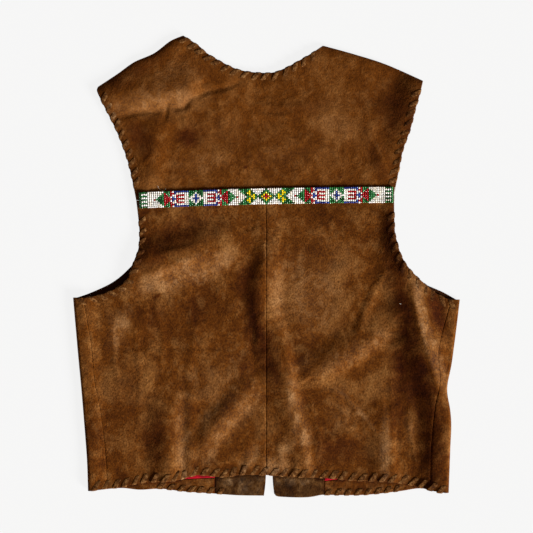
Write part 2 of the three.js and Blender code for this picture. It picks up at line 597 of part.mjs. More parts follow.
// Height of the back's faceted top face, for the pieces that lie on it: the highest of a
// few places round the point, so that a seam's gap or a facet's edge is bridged.
function seatedOn(panels) {
  const down = new THREE.Vector3(0, 0, -1);
  const probes = [[0, 0], [SEAT_PROBE, 0], [-SEAT_PROBE, 0], [0, SEAT_PROBE], [0, -SEAT_PROBE]];
  return (point) => {
    const heights = probes.map(([x, y]) => {
      const above = new THREE.Vector3(point.x + x, point.y + y, PROBE_HEIGHT);
      const [hit] = new THREE.Raycaster(above, down).intersectObjects(panels, false);
      return hit === undefined ? 0 : hit.point.z;
    });
    return Math.max(...heights, SHOULDER_LEVEL);
  };
}

// Rows of points along a line, each row at its own distance to the left of it
function rowsBeside(table, steps, offsets) {
  const curve = new THREE.SplineCurve(table.map(({ x, y }) => new THREE.Vector2(x, y)));
  const length = curve.getLength();
  return offsets.map(({ away, lead }) => steps.map((step) => {
    const share = step / length;
    const along = curve.getTangentAt(share);
    const point = curve.getPointAt(share);
    return new THREE.Vector2(point.x - along.y * away + along.x * lead,
      point.y + along.x * away + along.y * lead);
  }));
}

function beadBand(seat) {
  const length = lineLength(BAND_LINE);
  const steps = Array.from({ length: BAND_COLUMNS + 1 }, (_, k) => length * k / BAND_COLUMNS);
  const offsets = Array.from({ length: BAND_ROWS + 1 }, (_, k) => (
    { away: BAND_WIDTH * (k / BAND_ROWS - 0.5), lead: 0 }));
  const rows = rowsBeside(BAND_LINE, steps, offsets);
  return layer(rows, (point) => seat(point) + TRIM_LIFT + BAND, (point) => seat(point) + TRIM_LIFT);
}

function lineLength(table) {
  return new THREE.SplineCurve(table.map(({ x, y }) => new THREE.Vector2(x, y))).getLength();
}

// Thong overcast round an edge: slanted bars on the cloth, joined by a strand along the edge.
// cloth is 1 where the cloth lies to the left of the line and -1 where it lies to the right.
function lacing({ line, cloth, reach, slant, seat }) {
  const length = lineLength(line);
  const turns = Math.floor((length - LACE_BAR) / LACE_PITCH);
  const start = (length - turns * LACE_PITCH - LACE_BAR) / 2;
  const steps = Array.from({ length: turns + 1 }, (_, k) => [
    start + k * LACE_PITCH, start + k * LACE_PITCH + LACE_BAR]).flat();
  const rows = rowsBeside(line, steps, [
    { away: cloth * LACE_EDGE, lead: 0 },
    { away: cloth * LACE_SPINE, lead: 0 },
    { away: cloth * reach, lead: slant },
  ]);
  const isBar = (i, j) => i === 0 || j % 2 === 0;
  return layer(rows, (point) => seat(point) + TRIM_LIFT + LACE, (point) => seat(point) + TRIM_LIFT,
    isBar);
}

const group = new THREE.Group();

function add(name, geometry, material) {
  const mesh = new THREE.Mesh(geometry, material);
  mesh.name = name;
  group.add(mesh);
  return mesh;
}

const backPieces = [
  add('back_yoke', yoke(), SUEDE),
  add('back_lower_left', lowerBackLeft(), SUEDE),
  add('back_lower_right', lowerBackRight(), SUEDE),
  add('front_left', frontLeft(), SUEDE),
  add('front_right', frontRight(), SUEDE),
];
add('front_facing_left', frontFacingLeft(), SUEDE);
add('front_facing_right', frontFacingRight(), SUEDE);
add('hem_facing_left', hemFacing(-1), SUEDE);
add('hem_facing_right', hemFacing(1), SUEDE);
add('lining_left', liningLeft(), RED_CLOTH);
add('lining_right', liningRight(), RED_CLOTH);

const onBack = seatedOn(backPieces);
const onFacing = () => FACING_TOP;
add('bead_band', beadBand(onBack), BEADS);

// One row for each laced edge
const LACINGS = [
  { name: 'lace_neck', line: NECK, cloth: -1, slant: -LACE_SLANT },
  { name: 'lace_hem', line: BACK_HEM_LACE, cloth: 1, slant: LACE_SLANT },
  { name: 'lace_armhole_left_lower', line: LACED_LEFT_LOWER, cloth: -1, slant: LACE_SLANT },
  { name: 'lace_armhole_left_upper', line: LACED_LEFT_UPPER, cloth: -1, slant: LACE_SLANT },
  { name: 'lace_armhole_right_lower', line: LACED_RIGHT_LOWER, cloth: 1, slant: -LACE_SLANT },
  { name: 'lace_armhole_right_upper', line: LACED_RIGHT_UPPER, cloth: 1, slant: -LACE_SLANT },
];
LACINGS.forEach(({ name, line, cloth, slant }) => {
  add(name, lacing({ line, cloth, slant, reach: BACK_REACH, seat: onBack }), THONG);
});
const FRONT_LACINGS = [
  { name: 'lace_front_left', line: hemBetween(FRONT_HEM_LEFT, ...FRONT_LACE_LEFT) },
  { name: 'lace_front_right', line: hemBetween(FRONT_HEM_RIGHT, ...FRONT_LACE_RIGHT) },
];
FRONT_LACINGS.forEach(({ name, line }) => {
  add(name, lacing({ line, cloth: 1, slant: LACE_SLANT, reach: FRONT_REACH, seat: onFacing }),
    THONG);
});

// The origin goes under the middle of the outline.
const box = new THREE.Box3().setFromObject(group);
group.position.set(-(box.min.x + box.max.x) / 2, -(box.min.y + box.max.y) / 2, -box.min.z);

export default group;
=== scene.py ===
import math

import bpy
import numpy as np
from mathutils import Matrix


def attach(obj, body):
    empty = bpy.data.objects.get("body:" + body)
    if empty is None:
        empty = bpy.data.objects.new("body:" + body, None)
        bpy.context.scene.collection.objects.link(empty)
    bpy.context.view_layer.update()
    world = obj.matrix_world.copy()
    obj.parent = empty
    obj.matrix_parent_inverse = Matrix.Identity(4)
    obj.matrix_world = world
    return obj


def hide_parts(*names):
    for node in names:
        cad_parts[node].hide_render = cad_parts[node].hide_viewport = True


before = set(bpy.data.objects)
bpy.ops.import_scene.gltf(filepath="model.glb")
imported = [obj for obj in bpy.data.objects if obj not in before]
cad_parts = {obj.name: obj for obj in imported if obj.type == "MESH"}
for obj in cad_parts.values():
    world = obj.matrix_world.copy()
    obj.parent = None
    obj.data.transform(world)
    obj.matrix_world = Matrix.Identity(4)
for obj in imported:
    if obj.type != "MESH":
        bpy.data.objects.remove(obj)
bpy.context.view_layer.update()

# Beaded suede waistcoat, laid flat on its fronts with its back up.
# Tables and sizes are in millimetres, and meshes are written in metres.
MM = 0.001

# Photograph's scale and frame, and the camera's height in metres
PHOTO_PIXELS = 533
MM_PER_PIXEL = 1.35
CAMERA_HEIGHT = 2.6
SENSOR_WIDTH = 36.0

# Walls and gaps, as in the solids
LEATHER = 1.5
FACING = 1.2
GAP = 0.3
HALF_GAP = GAP / 2
FACING_UNDERSIDE = LEATHER + GAP
FACING_TOP = FACING_UNDERSIDE + FACING
BACK_LEVEL = FACING_TOP + GAP + LEATHER
SHOULDER_LEVEL = LEATHER + GAP + LEATHER
FOLD_DEPTH = 5.0
SHOULDER_ROLL = 11.0
HEM_FACING_END = 2.5

# Grid of each kind of panel: about its width, with the step across, then about its length,
# with the step upwards
GRIDS = {
    "yoke": (400.0, 2.1, 170.0, 2.1),
    "lower_back": (225.0, 2.1, 378.0, 2.1),
    "front": (250.0, 8.0, 600.0, 3.0),
    "front_facing": (66.0, 2.0, 600.0, 5.0),
    "hem_facing": (165.0, 2.5, 20.0, 2.5),
    "lining": (165.0, 4.0, 560.0, 5.0),
}
# Steps beside a cut edge, how far in and how deep each kind of edge is rounded, and the
# leather's least thickness there
LIP_STEPS = (0.0, 0.35, 0.8, 1.5)
EDGE_LIP = {"width": 1.0, "drop": 0.55}
SEAM_LIP = {"width": 1.5, "drop": 0.65}
OPEN_LIP = {"width": 0.6, "drop": 0.25}
LIP_LEATHER = 0.6
LIP_CLEARANCE = 1.6

# Where an outline has its corners, as shares of a panel's side: the armpit on the back and
# on the fronts, the shoulders' inner ends on the yoke, and the foot of the neck's opening
# on facings and linings
SIDE_SHARE = 0.64
FRONT_SHARE = SIDE_SHARE * 0.75
SHOULDER_SHARE = 0.3
NECK_SHARE = 0.4
CHEST_SHARE = 0.5
# Closer rows where the front facings show below the back's hem
FACING_FINE_ROWS = {"start": 0.005, "stop": 0.055, "num": 24}

# Round the side: steps from the seam to the fold, about how far that is, and the fold's turns
WRAP_STEPS = 10
WRAP_START = 0.14
WRAP_LENGTH = 20
FOLD_TURNS = 12

# Outline of the back: rows of x, y, each table from the hem upwards or from left to right
CENTRE_SEAM_X = -0.7
BACK_HEM_LEFT = [
    (-215.6, -299.7), (-197.8, -298.4), (-180.2, -294.3), (-163.2, -291.3), (-124.1, -288.9),
    (-103.3, -283.5), (-89.8, -281.5), (-57.9, -283.9), (-30.4, -280.7), (CENTRE_SEAM_X, -281.5),
]
BACK_HEM_RIGHT = [
    (CENTRE_SEAM_X, -281.5), (39.6, -283.9), (77.6, -285.4), (116.4, -288.8), (154.6, -290.1),
    (182.5, -292.5), (201.3, -296.7), (220.7, -301.7),
]
SIDE_SEAM_LEFT = [
    (-215.6, -299.7), (-216.7, -261.2), (-223.4, -200.5), (-232.2, -153.2), (-236.9, -104.6),
    (-247.1, -42.5),
]
SIDE_SEAM_RIGHT = [
    (220.7, -301.7), (221.3, -251.8), (226.1, -191.0), (232.9, -154.6), (231.3, -115.4),
    (241.0, -73.6), (249.8, -45.2),
]
ARMHOLE_LEFT_LOWER = [
    (-247.1, -42.5), (-226.7, -38.6), (-212.9, -33.8), (-199.1, -26.9), (-187.4, -15.9),
    (-178.2, 8.8), (-173.2, 22.3), (-171.6, 38.5), (-172.1, 56.0), (-175.8, 89.1 - HALF_GAP),
]
ARMHOLE_RIGHT_LOWER = [
    (249.8, -45.2), (240.0, -41.5), (227.5, -35.0), (209.9, -20.3), (196.4, -7.4), (186.9, 4.7),
    (180.2, 18.2), (176.1, 33.0), (172.8, 49.3), (172.1, 96.8 - HALF_GAP),
]
ARMHOLE_LEFT_UPPER = [
    (-175.8, 89.1 + HALF_GAP), (-184.3, 130.3), (-192.4, 157.3), (-203.2, 184.3),
    (-216.7, 211.3), (-223.4, 224.8), (-228.8, 236.9), (-227.5, 243.0),
]
ARMHOLE_RIGHT_UPPER = [
    (172.1, 96.8 + HALF_GAP), (178.8, 130.3), (184.2, 157.3), (193.7, 184.3), (200.4, 211.3),
    (204.5, 224.8), (211.3, 251.0),
]
SHOULDER_LEFT = [
    (-227.5, 243.0), (-201.8, 259.9), (-178.9, 276.1), (-151.9, 288.2), (-130.3, 304.4),
    (-112.7, 312.1),
]
SHOULDER_RIGHT = [(76.3, 298.4), (118.1, 286.9), (161.3, 273.0), (211.3, 251.0)]
NECK = [
    (-112.7, 312.1), (-91.1, 297.7), (-77.6, 286.2), (-39.8, 266.6), (-0.7, 261.5),
    (20.9, 266.0), (54.7, 284.2), (76.3, 298.4),
]
YOKE_SEAM_LEFT = [(-175.8, 89.1), (-86.0, 92.5), (CENTRE_SEAM_X, 94.8)]
YOKE_SEAM_RIGHT = [(CENTRE_SEAM_X, 94.8), (86.0, 96.3), (172.1, 96.8)]

# Outline of the fronts: the rounded side, the hem, the armhole and the front edge
SIDE_EDGE_LEFT = [
    (-241.0, -302.8), (-242.3, -263.9), (-245.0, -226.1), (-250.4, -161.3), (-254.5, -118.1),
    (-261.2, -41.9),
]
SIDE_EDGE_RIGHT = [
    (245.8, -304.8), (247.7, -247.7), (249.0, -215.3), (247.7, -193.7), (243.6, -164.0),
    (250.4, -128.9), (257.1, -79.0), (261.2, -44.6),
]
FRONT_HEM_LEFT = [
    (-236.0, -302.8), (-197.8, -299.4), (-171.2, -301.6), (-142.4, -300.4), (-111.9, -304.0),
    (-74.0, -306.6), (-37.4, -309.2), (-3.4, -309.6),
]
FRONT_HEM_RIGHT = [
    (10.2, -306.5), (13.5, -310.2), (21.5, -311.3), (43.1, -312.1), (59.0, -311.5),
    (74.0, -308.7), (130.8, -308.7), (179.7, -303.6), (208.6, -299.8), (240.8, -304.8),
]
FRONT_ARMHOLE_LEFT = [
    (-256.2, -41.9), (-236.9, -35.1), (-209.4, -22.1), (-188.7, -5.5), (-176.0, 12.0),
    (-168.5, 50.0), (-172.0, 100.0), (-190.0, 160.0), (-214.0, 213.0), (-227.5, 243.0),
]
FRONT_ARMHOLE_RIGHT = [
    (256.2, -44.6), (235.0, -33.0), (206.0, -21.5), (182.0, 3.0), (170.5, 33.0), (166.0, 75.0),
    (170.0, 115.0), (182.0, 162.0), (196.0, 212.0), (211.3, 251.0),
]
FRONT_EDGE_LEFT = [(-3.4, -309.6), (-0.8, -282.0), (-0.8, -220.0), (-0.8, 10.0)]
FRONT_EDGE_RIGHT = [(10.2, -306.5), (8.1, -282.0), (7.2, -220.0), (7.2, 10.0)]
FRONT_NECK_LEFT = [(-0.8, 10.0), (-50.0, 150.0), (-112.7, 312.1)]
FRONT_NECK_RIGHT = [(7.2, 10.0), (38.0, 150.0), (76.3, 298.4)]

# Facings and linings inside the fronts
FACING_NECK_LEFT = [(-0.8, 10.0), (-50.0, 150.0), (-108.5, 296.0)]
FACING_NECK_RIGHT = [(7.2, 10.0), (38.0, 150.0), (74.0, 281.0)]
FACING_EDGE_LEFT = [(-69.5, -306.9), (-69.5, 10.0)]
FACING_EDGE_RIGHT = [(78.2, -308.6), (78.2, 10.0)]
FACING_CHEST_LEFT = [(-69.5, 10.0), (-95.0, 120.0), (-143.5, 277.0)]
FACING_CHEST_RIGHT = [(78.2, 10.0), (86.0, 120.0), (108.0, 274.0)]
# Width of each hem facing at places across it
HEM_FACING_LEFT = [(-233.5, 17.0), (-116.0, 16.4), (-69.8, 21.5)]
HEM_FACING_RIGHT = [(78.5, 18.7), (102.0, 22.2), (238.3, 22.2)]
# Linings: their side above the hem facing, and their armhole
LINING_SIDE_LEFT = [(-240.0, -215.0), (-244.0, -150.0), (-251.0, -62.0)]
LINING_SIDE_RIGHT = [(240.5, -215.0), (235.0, -164.0), (242.0, -129.0), (250.0, -64.0)]
LINING_ARMHOLE_LEFT = [
    (-251.0, -62.0), (-228.0, -50.0), (-196.0, -34.0), (-164.0, 4.0), (-152.0, 50.0),
    (-156.0, 98.0), (-174.0, 156.0), (-208.0, 232.0),
]
LINING_ARMHOLE_RIGHT = [
    (250.0, -64.0), (226.0, -50.0), (196.0, -36.0), (162.0, 6.0), (151.0, 70.0),
    (154.0, 118.0), (166.0, 168.0), (188.0, 238.0),
]

# Folds of the back, largest first. Each row has the widths of the two slopes, seen along the
# crest, and the crest's points as x, y and the height that it rises to.
LARGE_FOLDS = [
    (34, 46, [(183, 10, 3.5), (197, -28, 8), (202, -52, 10), (210, -94, 12), (219, -122, 13),
              (228, -153, 13), (236, -190, 13), (241, -221, 12), (239.6, -302, 8)]),
    (26, 22, [(170.8, 80, 3), (172.1, 42, 5), (191, -2, 4)]),
    (45, 38, [(207, 245, 7), (199, 211, 8), (187, 171, 3.5)]),
    (20, 26, [(-246.4, -45, 4), (-243.7, -113, 3), (-235.6, -180, 3.5), (-232.9, -302, 3)]),
    (34, 28, [(0, 52, 1.5), (1, 22, 4.5), (-6, -20, 6.5), (-8, -50, 7.0), (-3, -82, 4.5),
              (6, -108, 1.5), (12, -126, 0.3)]),
    (15, 46, [(4, -58, 0.5), (16, -86, 4), (24, -116, 7), (31, -146, 6.5), (36, -174, 2.5),
              (38, -190, 0.5)]),
    (15, 34, [(26, -150, 2), (35, -190, 4.2), (44, -226, 4.4), (52, -266, 4), (56, -292, 3)]),
    (40, 24, [(69.5, -144, 4.5), (106, -122, 5.5), (137, -101, 5), (164, -79, 2)]),
    (36, 50, [(-170.8, -2, 4), (-154.6, 7, 7.5), (-116.8, 18, 8.5), (-83, 28, 7.5),
              (-46.6, 41, 3.5)]),
    (40, 24, [(-214, 227, 3.5), (-177.5, 230, 4.6), (-139.7, 231, 5), (-107.3, 242, 5)]),
    (25, 30, [(-146.5, 184, 3.3), (-150.5, 157, 4), (-154.6, 128, 3.3)]),
    (22, 34, [(-127.6, -167, 1.5), (-133, -207, 5), (-133, -248, 6), (-131.6, -290, 5)]),
    (26, 24, [(-26.3, -164, 3), (-56, -200, 4.5), (-83, -234, 4)]),
    (16, 36, [(160, -200, 2.2), (164, -248, 4.6), (169.4, -290, 4)]),
    (50, 50, [(-10, 262, -2.4), (-10, 200, -1.5)]),
]
SMALL_FOLDS = [
    (14, 18, [(134, 190, 0.8), (149, 161, 2.0), (162, 127, 1.2)]),
    (10, 10, [(158.6, -5, 0.6), (133, -61, 1.5), (123.5, -86, 1.0)]),
    (6, 6, [(97, -161, 0.5), (119.5, -192, 2.0), (150, -222, 0.8)]),
    (12, 12, [(187, -160, 1.2), (193.7, -194, 1.4), (196.4, -221, 0.8)]),
    (12, 10, [(-103.3, -113, 0.5), (-103.3, -180, 0.9), (-101.9, -234, 1.5),
              (-103.3, -283, 1.4)]),
    (8, 6, [(-202, 200, -0.6), (-186, 204, -1.6), (-164, 209, -1.8), (-146, 208, -1.4),
            (-135, 217, -0.8)]),
    (6, 6, [(-135, 218, -0.6), (-124, 213, -1.8), (-110, 215, -2.0), (-104, 226, -1.6),
            (-77, 237, -2.0), (-57, 240, -1.6), (-37, 249, -0.9)]),
    (5, 5, [(-134, 219, -0.8), (-136, 206, -1.5), (-138, 196, -0.6)]),
    (7, 7, [(-58, 238, 0.5), (-44, 226, 0.9), (-30, 219, 0.6)]),
    (5, 5, [(-180, -110, -0.35), (-90, -110, -0.45), (-8, -111, -0.3)]),
    (8, 8, [(-13, 218, 0.5), (22, 215, 0.8), (58, 218, 0.5)]),
    (7, 7, [(-20, 204, 0.4), (15, 202, 0.7), (52, 209, 0.4)]),
    (9, 9, [(-118, 188, -1.0), (-106, 180, -1.2), (-92, 172, -0.7)]),
    (10, 10, [(-26, -240, 0.8), (-24, -270, 1.4), (-23, -284, 1.0)]),
    (10, 10, [(18, -240, 0.6), (20, -268, 1.4), (20, -284, 1.0)]),
    (5, 5, [(-176, -84, 0.4), (-171, -150, 0.6), (-172, -214, 0.3)]),
    (5, 5, [(167, -126, 0.5), (169, -190, 0.8), (172, -275, 0.5)]),
    (6, 6, [(-210, -80, 0.5), (-204, -132, 0.7), (-196, -178, 0.4)]),
    (7, 7, [(216, -60, 0.8), (226, -84, 1.0), (232, -104, 0.5)]),
    (6, 8, [(84, -150, 0.5), (100, -180, 0.9), (108, -214, 0.4)]),
    (6, 6, [(-150, -56, 0.5), (-138, -96, 0.6), (-142, -130, 0.3)]),
    (6, 6, [(-104, -60, 0.5), (-96, -92, 0.5), (-99, -120, 0.3)]),
    (9, 6, [(-150, 22, -0.5), (-122, 28, -0.9), (-98, 33, -0.5)]),
    (12, 8, [(-152, -8, 0.8), (-118, 4, 1.2), (-86, 12, 0.7)]),
    (8, 8, [(196, -30, 0.9), (203, -66, 1.2), (206, -88, 0.6)]),
    (9, 6, [(208, -84, 1.0), (218, -116, 1.4), (226, -148, 1.0), (234, -178, 0.6)]),
    (6, 6, [(190, -210, 0.6), (197, -236, 0.9), (201, -264, 0.5)]),
    (12, 12, [(28, -152, 0.6), (44, -176, 1.4), (52, -214, 1.4), (60, -250, 0.8)]),
    (6, 9, [(60, -196, 0.6), (72, -224, 0.9), (70, -256, 0.7)]),
    (7, 7, [(-18, -70, -0.5), (-20, -104, -0.9), (-16, -140, -0.5)]),
]
# Small marks on the hide: x, y, half length, half width, direction, tone
MARKS = [
    (-28, 134.3, 2.6, 2.2, 0, -1.6), (100, 120.8, 2.8, 2.0, 30, -1.6),
    (-149.2, -41.2, 6.0, 2.6, 35, -1.2), (-145, -38.5, 3.0, 1.8, 30, -1.0),
    (-211, 212, 3, 2, 0, -0.6), (-104, 168, 4, 2.6, 40, -0.8), (119.5, -194, 3, 2, 0, -0.6),
]
# Small wrinkles strewn at random over the back: how many, where, how long, wide and high, the
# middle and spread of their direction, their bend and how much wider one slope is
WRINKLES = {
    "count": 110, "x": (-225, 225), "y": (-280, 260), "length": (14, 44), "width": (3.0, 8.0),
    "height": (-0.5, 0.6), "turn": (-75, 38), "bend": (-0.25, 0.25), "slopes": (0.8, 1.6),
}
WRINKLE_END = 0.2
WRINKLE_SEED = 44

# Soft unevenness, each with its spacing, its size and its seed: the hide's swells, the uneven
# edges of the patches of nap and of painted shading, the nap inside the fronts, and the
# facings' faint waves
HIDE_SWELLS = [(44.0, 1.9, 11), (21.0, 0.8, 12), (9.0, 0.16, 13)]
RAGGED_EDGES = [(15.0, 0.35, 14), (6.0, 0.2, 15)]
COVERED_NAP = [(17.0, 0.4, 35), (7.0, 0.45, 33), (3.0, 0.3, 34)]
FACING_WAVE = 0.12
FACING_WAVES = [(9.0, FACING_WAVE, 31)]

# Patches where the nap lies darker or lighter, and patches of painted shade and painted
# highlight on the shaded and lit slopes of the back's folds: centre x, y, half length, half
# width, the direction of the length in degrees, and the tone, dark below 0 and light above.
# Each fades out at its reach times those halves, and its edge is ragged by a share of the
# unevenness.
PATCH_RAGGED = 0.4
PATCH_REACH = 1.5
NAP_AND_PAINTED_SHADING_PATCHES = [
    (177, 215, 46, 28, 80, -0.7), (196, 175, 30, 12, 75, -0.5), (-157, 219, 62, 19, 8, 1.0),
    (-176, 262, 60, 13, 33, -0.5), (-105, 174, 20, 15, 0, -0.8), (-172, 176, 34, 16, -62, -0.7),
    (-120, 262, 34, 24, 20, 0.3), (166, 38, 44, 13, 98, -1.0), (-120, 41, 64, 22, 20, -0.9),
    (-104, -7, 72, 18, 20, 0.95), (-161, 8, 26, 13, 24, -0.9), (232, -62, 34, 11, -74, -1.3),
    (180, -14, 22, 11, -80, -0.8), (2, -122, 52, 18, 108, -1.0), (-24, -30, 58, 17, 95, -0.9),
    (14, -30, 56, 14, 98, 0.3), (44, -206, 78, 11, -76, 0.9), (50, -132, 26, 9, 35, 0.5),
    (120, -115, 60, 12, 28, 0.5), (192, -214, 26, 9, -80, 0.7), (176, -170, 60, 12, -88, -0.6),
    (122, -193, 36, 4, -46, 0.8), (-196, -76, 26, 13, 62, 0.5), (-64, 176, 70, 26, -12, -0.2),
    (60, -50, 26, 46, 0, 0.35), (-60, -150, 60, 30, 20, 0.2), (-190, -180, 24, 60, 10, -0.25),
    (20, 150, 60, 18, 5, 0.25), (-90, 140, 34, 16, 10, 0.35), (60, 215, 60, 12, 4, -0.3),
    (14, -270, 22, 12, 0, 0.6), (100, -205, 20, 34, 10, 0.3), (184, -55, 62, 17, -76, -1.0),
    (202, -150, 72, 23, -76, -1.1), (222, -240, 62, 22, -88, -0.9), (206, -50, 40, 8, -78, 0.9),
    (219, -102, 52, 10, -72, 1.3), (232, -140, 44, 10, -68, 1.2), (-152, -230, 52, 16, 88, -0.8),
    (-113, -230, 60, 12, 92, 0.8), (-24, -258, 20, 9, 60, 0.8), (18, -256, 24, 12, 50, 0.5),
    (96, -246, 44, 24, 5, -0.7), (160, -240, 46, 7, 88, 1.0), (151, 158, 26, 4, -64, 0.8),
    (-52, -214, 66, 18, 48, 0.7), (-72, -196, 44, 10, 48, 0.5), (60, -20, 60, 44, 80, 0.25),
    (-200, -95, 22, 12, 60, 0.4), (-94, -60, 14, 26, 0, -0.4), (-150, -70, 12, 40, 0, -0.4),
    (92, 190, 40, 20, -30, 0.2), (150, 150, 16, 40, 24, -0.4), (60, 60, 80, 12, 0, -0.2),
    (-228, -245, 20, 40, 0, -0.3),
]

# Painted shade at an edge: how dark it starts and how far it reaches. Joins are the darkest.
HEM_SHADE = {"start": 1.15, "reach": 4.0}
JOIN_SHADE = {"start": 1.3, "reach": 1.6}
JOIN_DEPTH = 1.5
ARMHOLE_SHADE = {"start": 1.6, "reach": 22}

# Lacing: a thong overcast round each free edge
LACE_PITCH = 13.4
LACE_WIDTH = 7.4
LACE_THICKNESS = 0.8
LACE_SLANT = 5.0
# Painted shade beside the laced edges, deepest where the cloth dips: its strength, and the share
# of it where the cloth is not drawn down
LACE_SHADE = 0.5
LACE_SHADE_BETWEEN = 0.3
LACE_SEED = 21
LACE_VARIETY = {
    "place": (-0.8, 0.8), "reach": (0.9, 1.08), "slant": (0.8, 1.25), "width": (0.86, 1.1),
}
PUCKER_REACH = 13.0
PUCKER_DEPTH = 0.3
THONG_SECTION = 8
THONG_SQUARENESS = 0.6
THONG_TAPER = 0.72
TAPERED_RINGS = 2
# Path of one turn: share of the reach from the edge, share of the slant, and the height above
# the cloth's face at each step, from the hole, over the face and round the edge
STITCH = [
    (1.06, 0.52, -1.1), (1.0, 0.5, -0.25), (0.9, 0.44, 0.16), (0.7, 0.33, 0.3),
    (0.45, 0.16, 0.36), (0.22, 0.0, 0.34), (0.08, -0.08, 0.26), (-0.01, -0.14, -0.1),
    (-0.04, -0.17, -0.8), (-0.01, -0.2, -1.6), (0.1, -0.24, -2.0),
]
STEPS_ON_CLOTH = 7
EDGE_INSET = 0.3
# Lacing of each front's hem: where it starts and where it ends
FRONT_LACE_ENDS = {
    "left": ((-150.0, -301.2), (-50.0, -308.3)),
    "right": ((76.0, -308.7), (186.0, -303.0)),
}

# Loose ends of thread and bits of lint lying on the back: x and y of the points of each, and
# its thickness
LOOSE_THREADS = [
    ([(-147, 109), (-144, 104), (-139, 102.5), (-135, 105)], 0.35),
    ([(178.9, -49.7), (180.1, -50.4), (181.3, -50.1)], 0.55),
    ([(171.9, 86.6), (172.6, 93), (172.4, 100), (173.2, 107)], 0.4),
]
THREAD_LIFT = 0.15

# Bead band
BEAD_COLUMNS_EACH_SIDE = 61
BEAD_ROWS_EACH_SIDE = 4
BEAD_LENGTH = 2.4
BEAD_DIAMETER = 2.75
BEAD_LIFT = 0.1
BEAD_SEED = 5
BEAD_SIDES = 10
# Half profile of a bead: share of its length from its middle, and share of its radius
BEAD_PROFILE = [(-0.36, 0.45), (-0.49, 0.62), (-0.47, 0.84), (-0.3, 0.98), (0.0, 1.02),
                (0.3, 0.98), (0.47, 0.84), (0.49, 0.62), (0.36, 0.45)]
# How unevenly the beads are strung: spreads in millimetres, of the turn in radians and of the
# size as a share, the range of their brightness, and how often one is of its column's batch
BEAD_VARIETY = {
    "column": 0.12, "row": 0.05, "along": 0.07, "turn": 0.05, "size": 0.025, "height": 0.06,
}
BEAD_TINT = (0.86, 1.1)
BEAD_BATCHES = 6
SAME_BATCH = 0.6
BAND_LINE = [
    (-172.1, 89.3), (-86.0, 92.5), (CENTRE_SEAM_X, 94.8), (86.0, 96.3), (170.9, 96.8),
]

# Half of the band's chart from its middle outwards. Each entry is one column of beads, read
# from the middle row to the edge. W white, G green, R red, Y yellow, B blue.
CHART_MIDDLE = [
    "RRYGG", "RYGGW", "YGGWW", "GGWWW", "GWWWW", "GGWWW", "YYGWW", "YGGGW", "GYYYG", "GGYGG",
    "WGGGG", "WWGGG", "WWWGG", "WWWWG",
]
CHART_POINT = ["RWWWW", "GWWWW", "GGWWW", "GGGWW", "GGGGW", "RRRRG", "RRRGG", "RRGGG"]
CHART_BARS = [
    "RWRRR", "BBWRW", "BWWBB", "RRRWB", "RWRWB", "RWRWB", "RWRWB", "WWWWB", "WWWWB",
]
CHART_DIAMOND = ["WGGGG", "WWGGG", "BWWGG", "BBBWG", "BWWGG", "WWGGG", "WGGGG"]
CHART_PLAIN = ["WWWWW"] * 3
CHART_COMB = ["GWGWG"] * 3 + ["GGGGG"]
CHART = (CHART_MIDDLE + CHART_POINT + CHART_BARS + CHART_DIAMOND + CHART_BARS[::-1]
         + CHART_POINT[::-1] + CHART_PLAIN + CHART_COMB)
BEAD_COLOURS = {
    "W": [(249, 247, 244), (237, 229, 215), (228, 226, 222)],
    "G": [(18, 96, 44), (8, 66, 28), (52, 128, 70)],
    "R": [(172, 12, 24), (148, 8, 20)],
    "Y": [(250, 224, 0), (240, 208, 6)],
    "B": [(24, 44, 118), (40, 68, 146)],
}

# Light: a soft key from the lower right of the photograph, and an even fill
KEY_ELEVATION = 21.0
KEY_AZIMUTH = -38.0
KEY_SHARE = 0.85
FILL_COLOUR = (1.0, 0.78, 0.48, 1.0)
KEY_SOFTNESS = 18.0
EXPOSURE = 1.07
# The floor shines a little, like a light table, so that shadows on it stay faint
FLOOR_BASE = 0.06
FLOOR_GLOW = 0.862
FLOOR_SIZE = 90.0
FLOOR_LEVEL = -0.0004


def linear(colour):
    """An sRGB colour, 0 to 255, as a linear one with alpha."""
    shares = [channel / 255 for channel in colour]
    return tuple(
        c / 12.92 if c <= 0.04045 else ((c + 0.055) / 1.055) ** 2.4 for c in shares
    ) + (1.0,)


# Lines and patches

def spline(table, per_segment=24):
    """Catmull-Rom curve through a table's rows, as closely spaced points."""
    points = np.asarray(table, float)
    padded = np.vstack([points[:1], points, points[-1:]])
    t = np.linspace(0, 1, per_segment, endpoint=False)[:, None]
    pieces = []
    for k in range(len(points) - 1):
        p0, p1, p2, p3 = padded[k:k + 4]
        v0, v1 = (p2 - p0) / 2, (p3 - p1) / 2
        pieces.append((2 * p1 - 2 * p2 + v0 + v1) * t ** 3
                      + (-3 * p1 + 3 * p2 - 2 * v0 - v1) * t ** 2 + v0 * t + p1)
    return np.vstack(pieces + [points[-1:]])


def length_of(line):
    return float(np.linalg.norm(np.diff(line, axis=0), axis=1).sum())


def along(line, shares):
    """Points at the given shares of a line's length."""
    steps = np.linalg.norm(np.diff(line, axis=0), axis=1)
    reached = np.concatenate([[0], np.cumsum(steps)])
    wanted = np.asarray(shares) * reached[-1]
    return np.stack([np.interp(wanted, reached, line[:, axis]) for axis in (0, 1)], axis=1)


class Edge:
    """One side of a patch: one or more tables, each with its share of the side."""

    def __init__(self, *tables, shares=None, offset=(0.0, 0.0)):
        self.lines = [spline(table) + np.asarray(offset) for table in tables]
        shares = shares or [1 / len(tables)] * len(tables)
        self.ends = np.concatenate([[0], np.cumsum(shares)])

    def at(self, places):
        places = np.asarray(places, float)
        points = np.empty((len(places), 2))
        for k, line in enumerate(self.lines):
            low, high = self.ends[k], self.ends[k + 1]
            last = k == len(self.lines) - 1
            here = (places >= low) & ((places <= 1.0) if last else (places < high))
            points[here] = along(line, np.clip((places[here] - low) / (high - low), 0, 1))
        return points


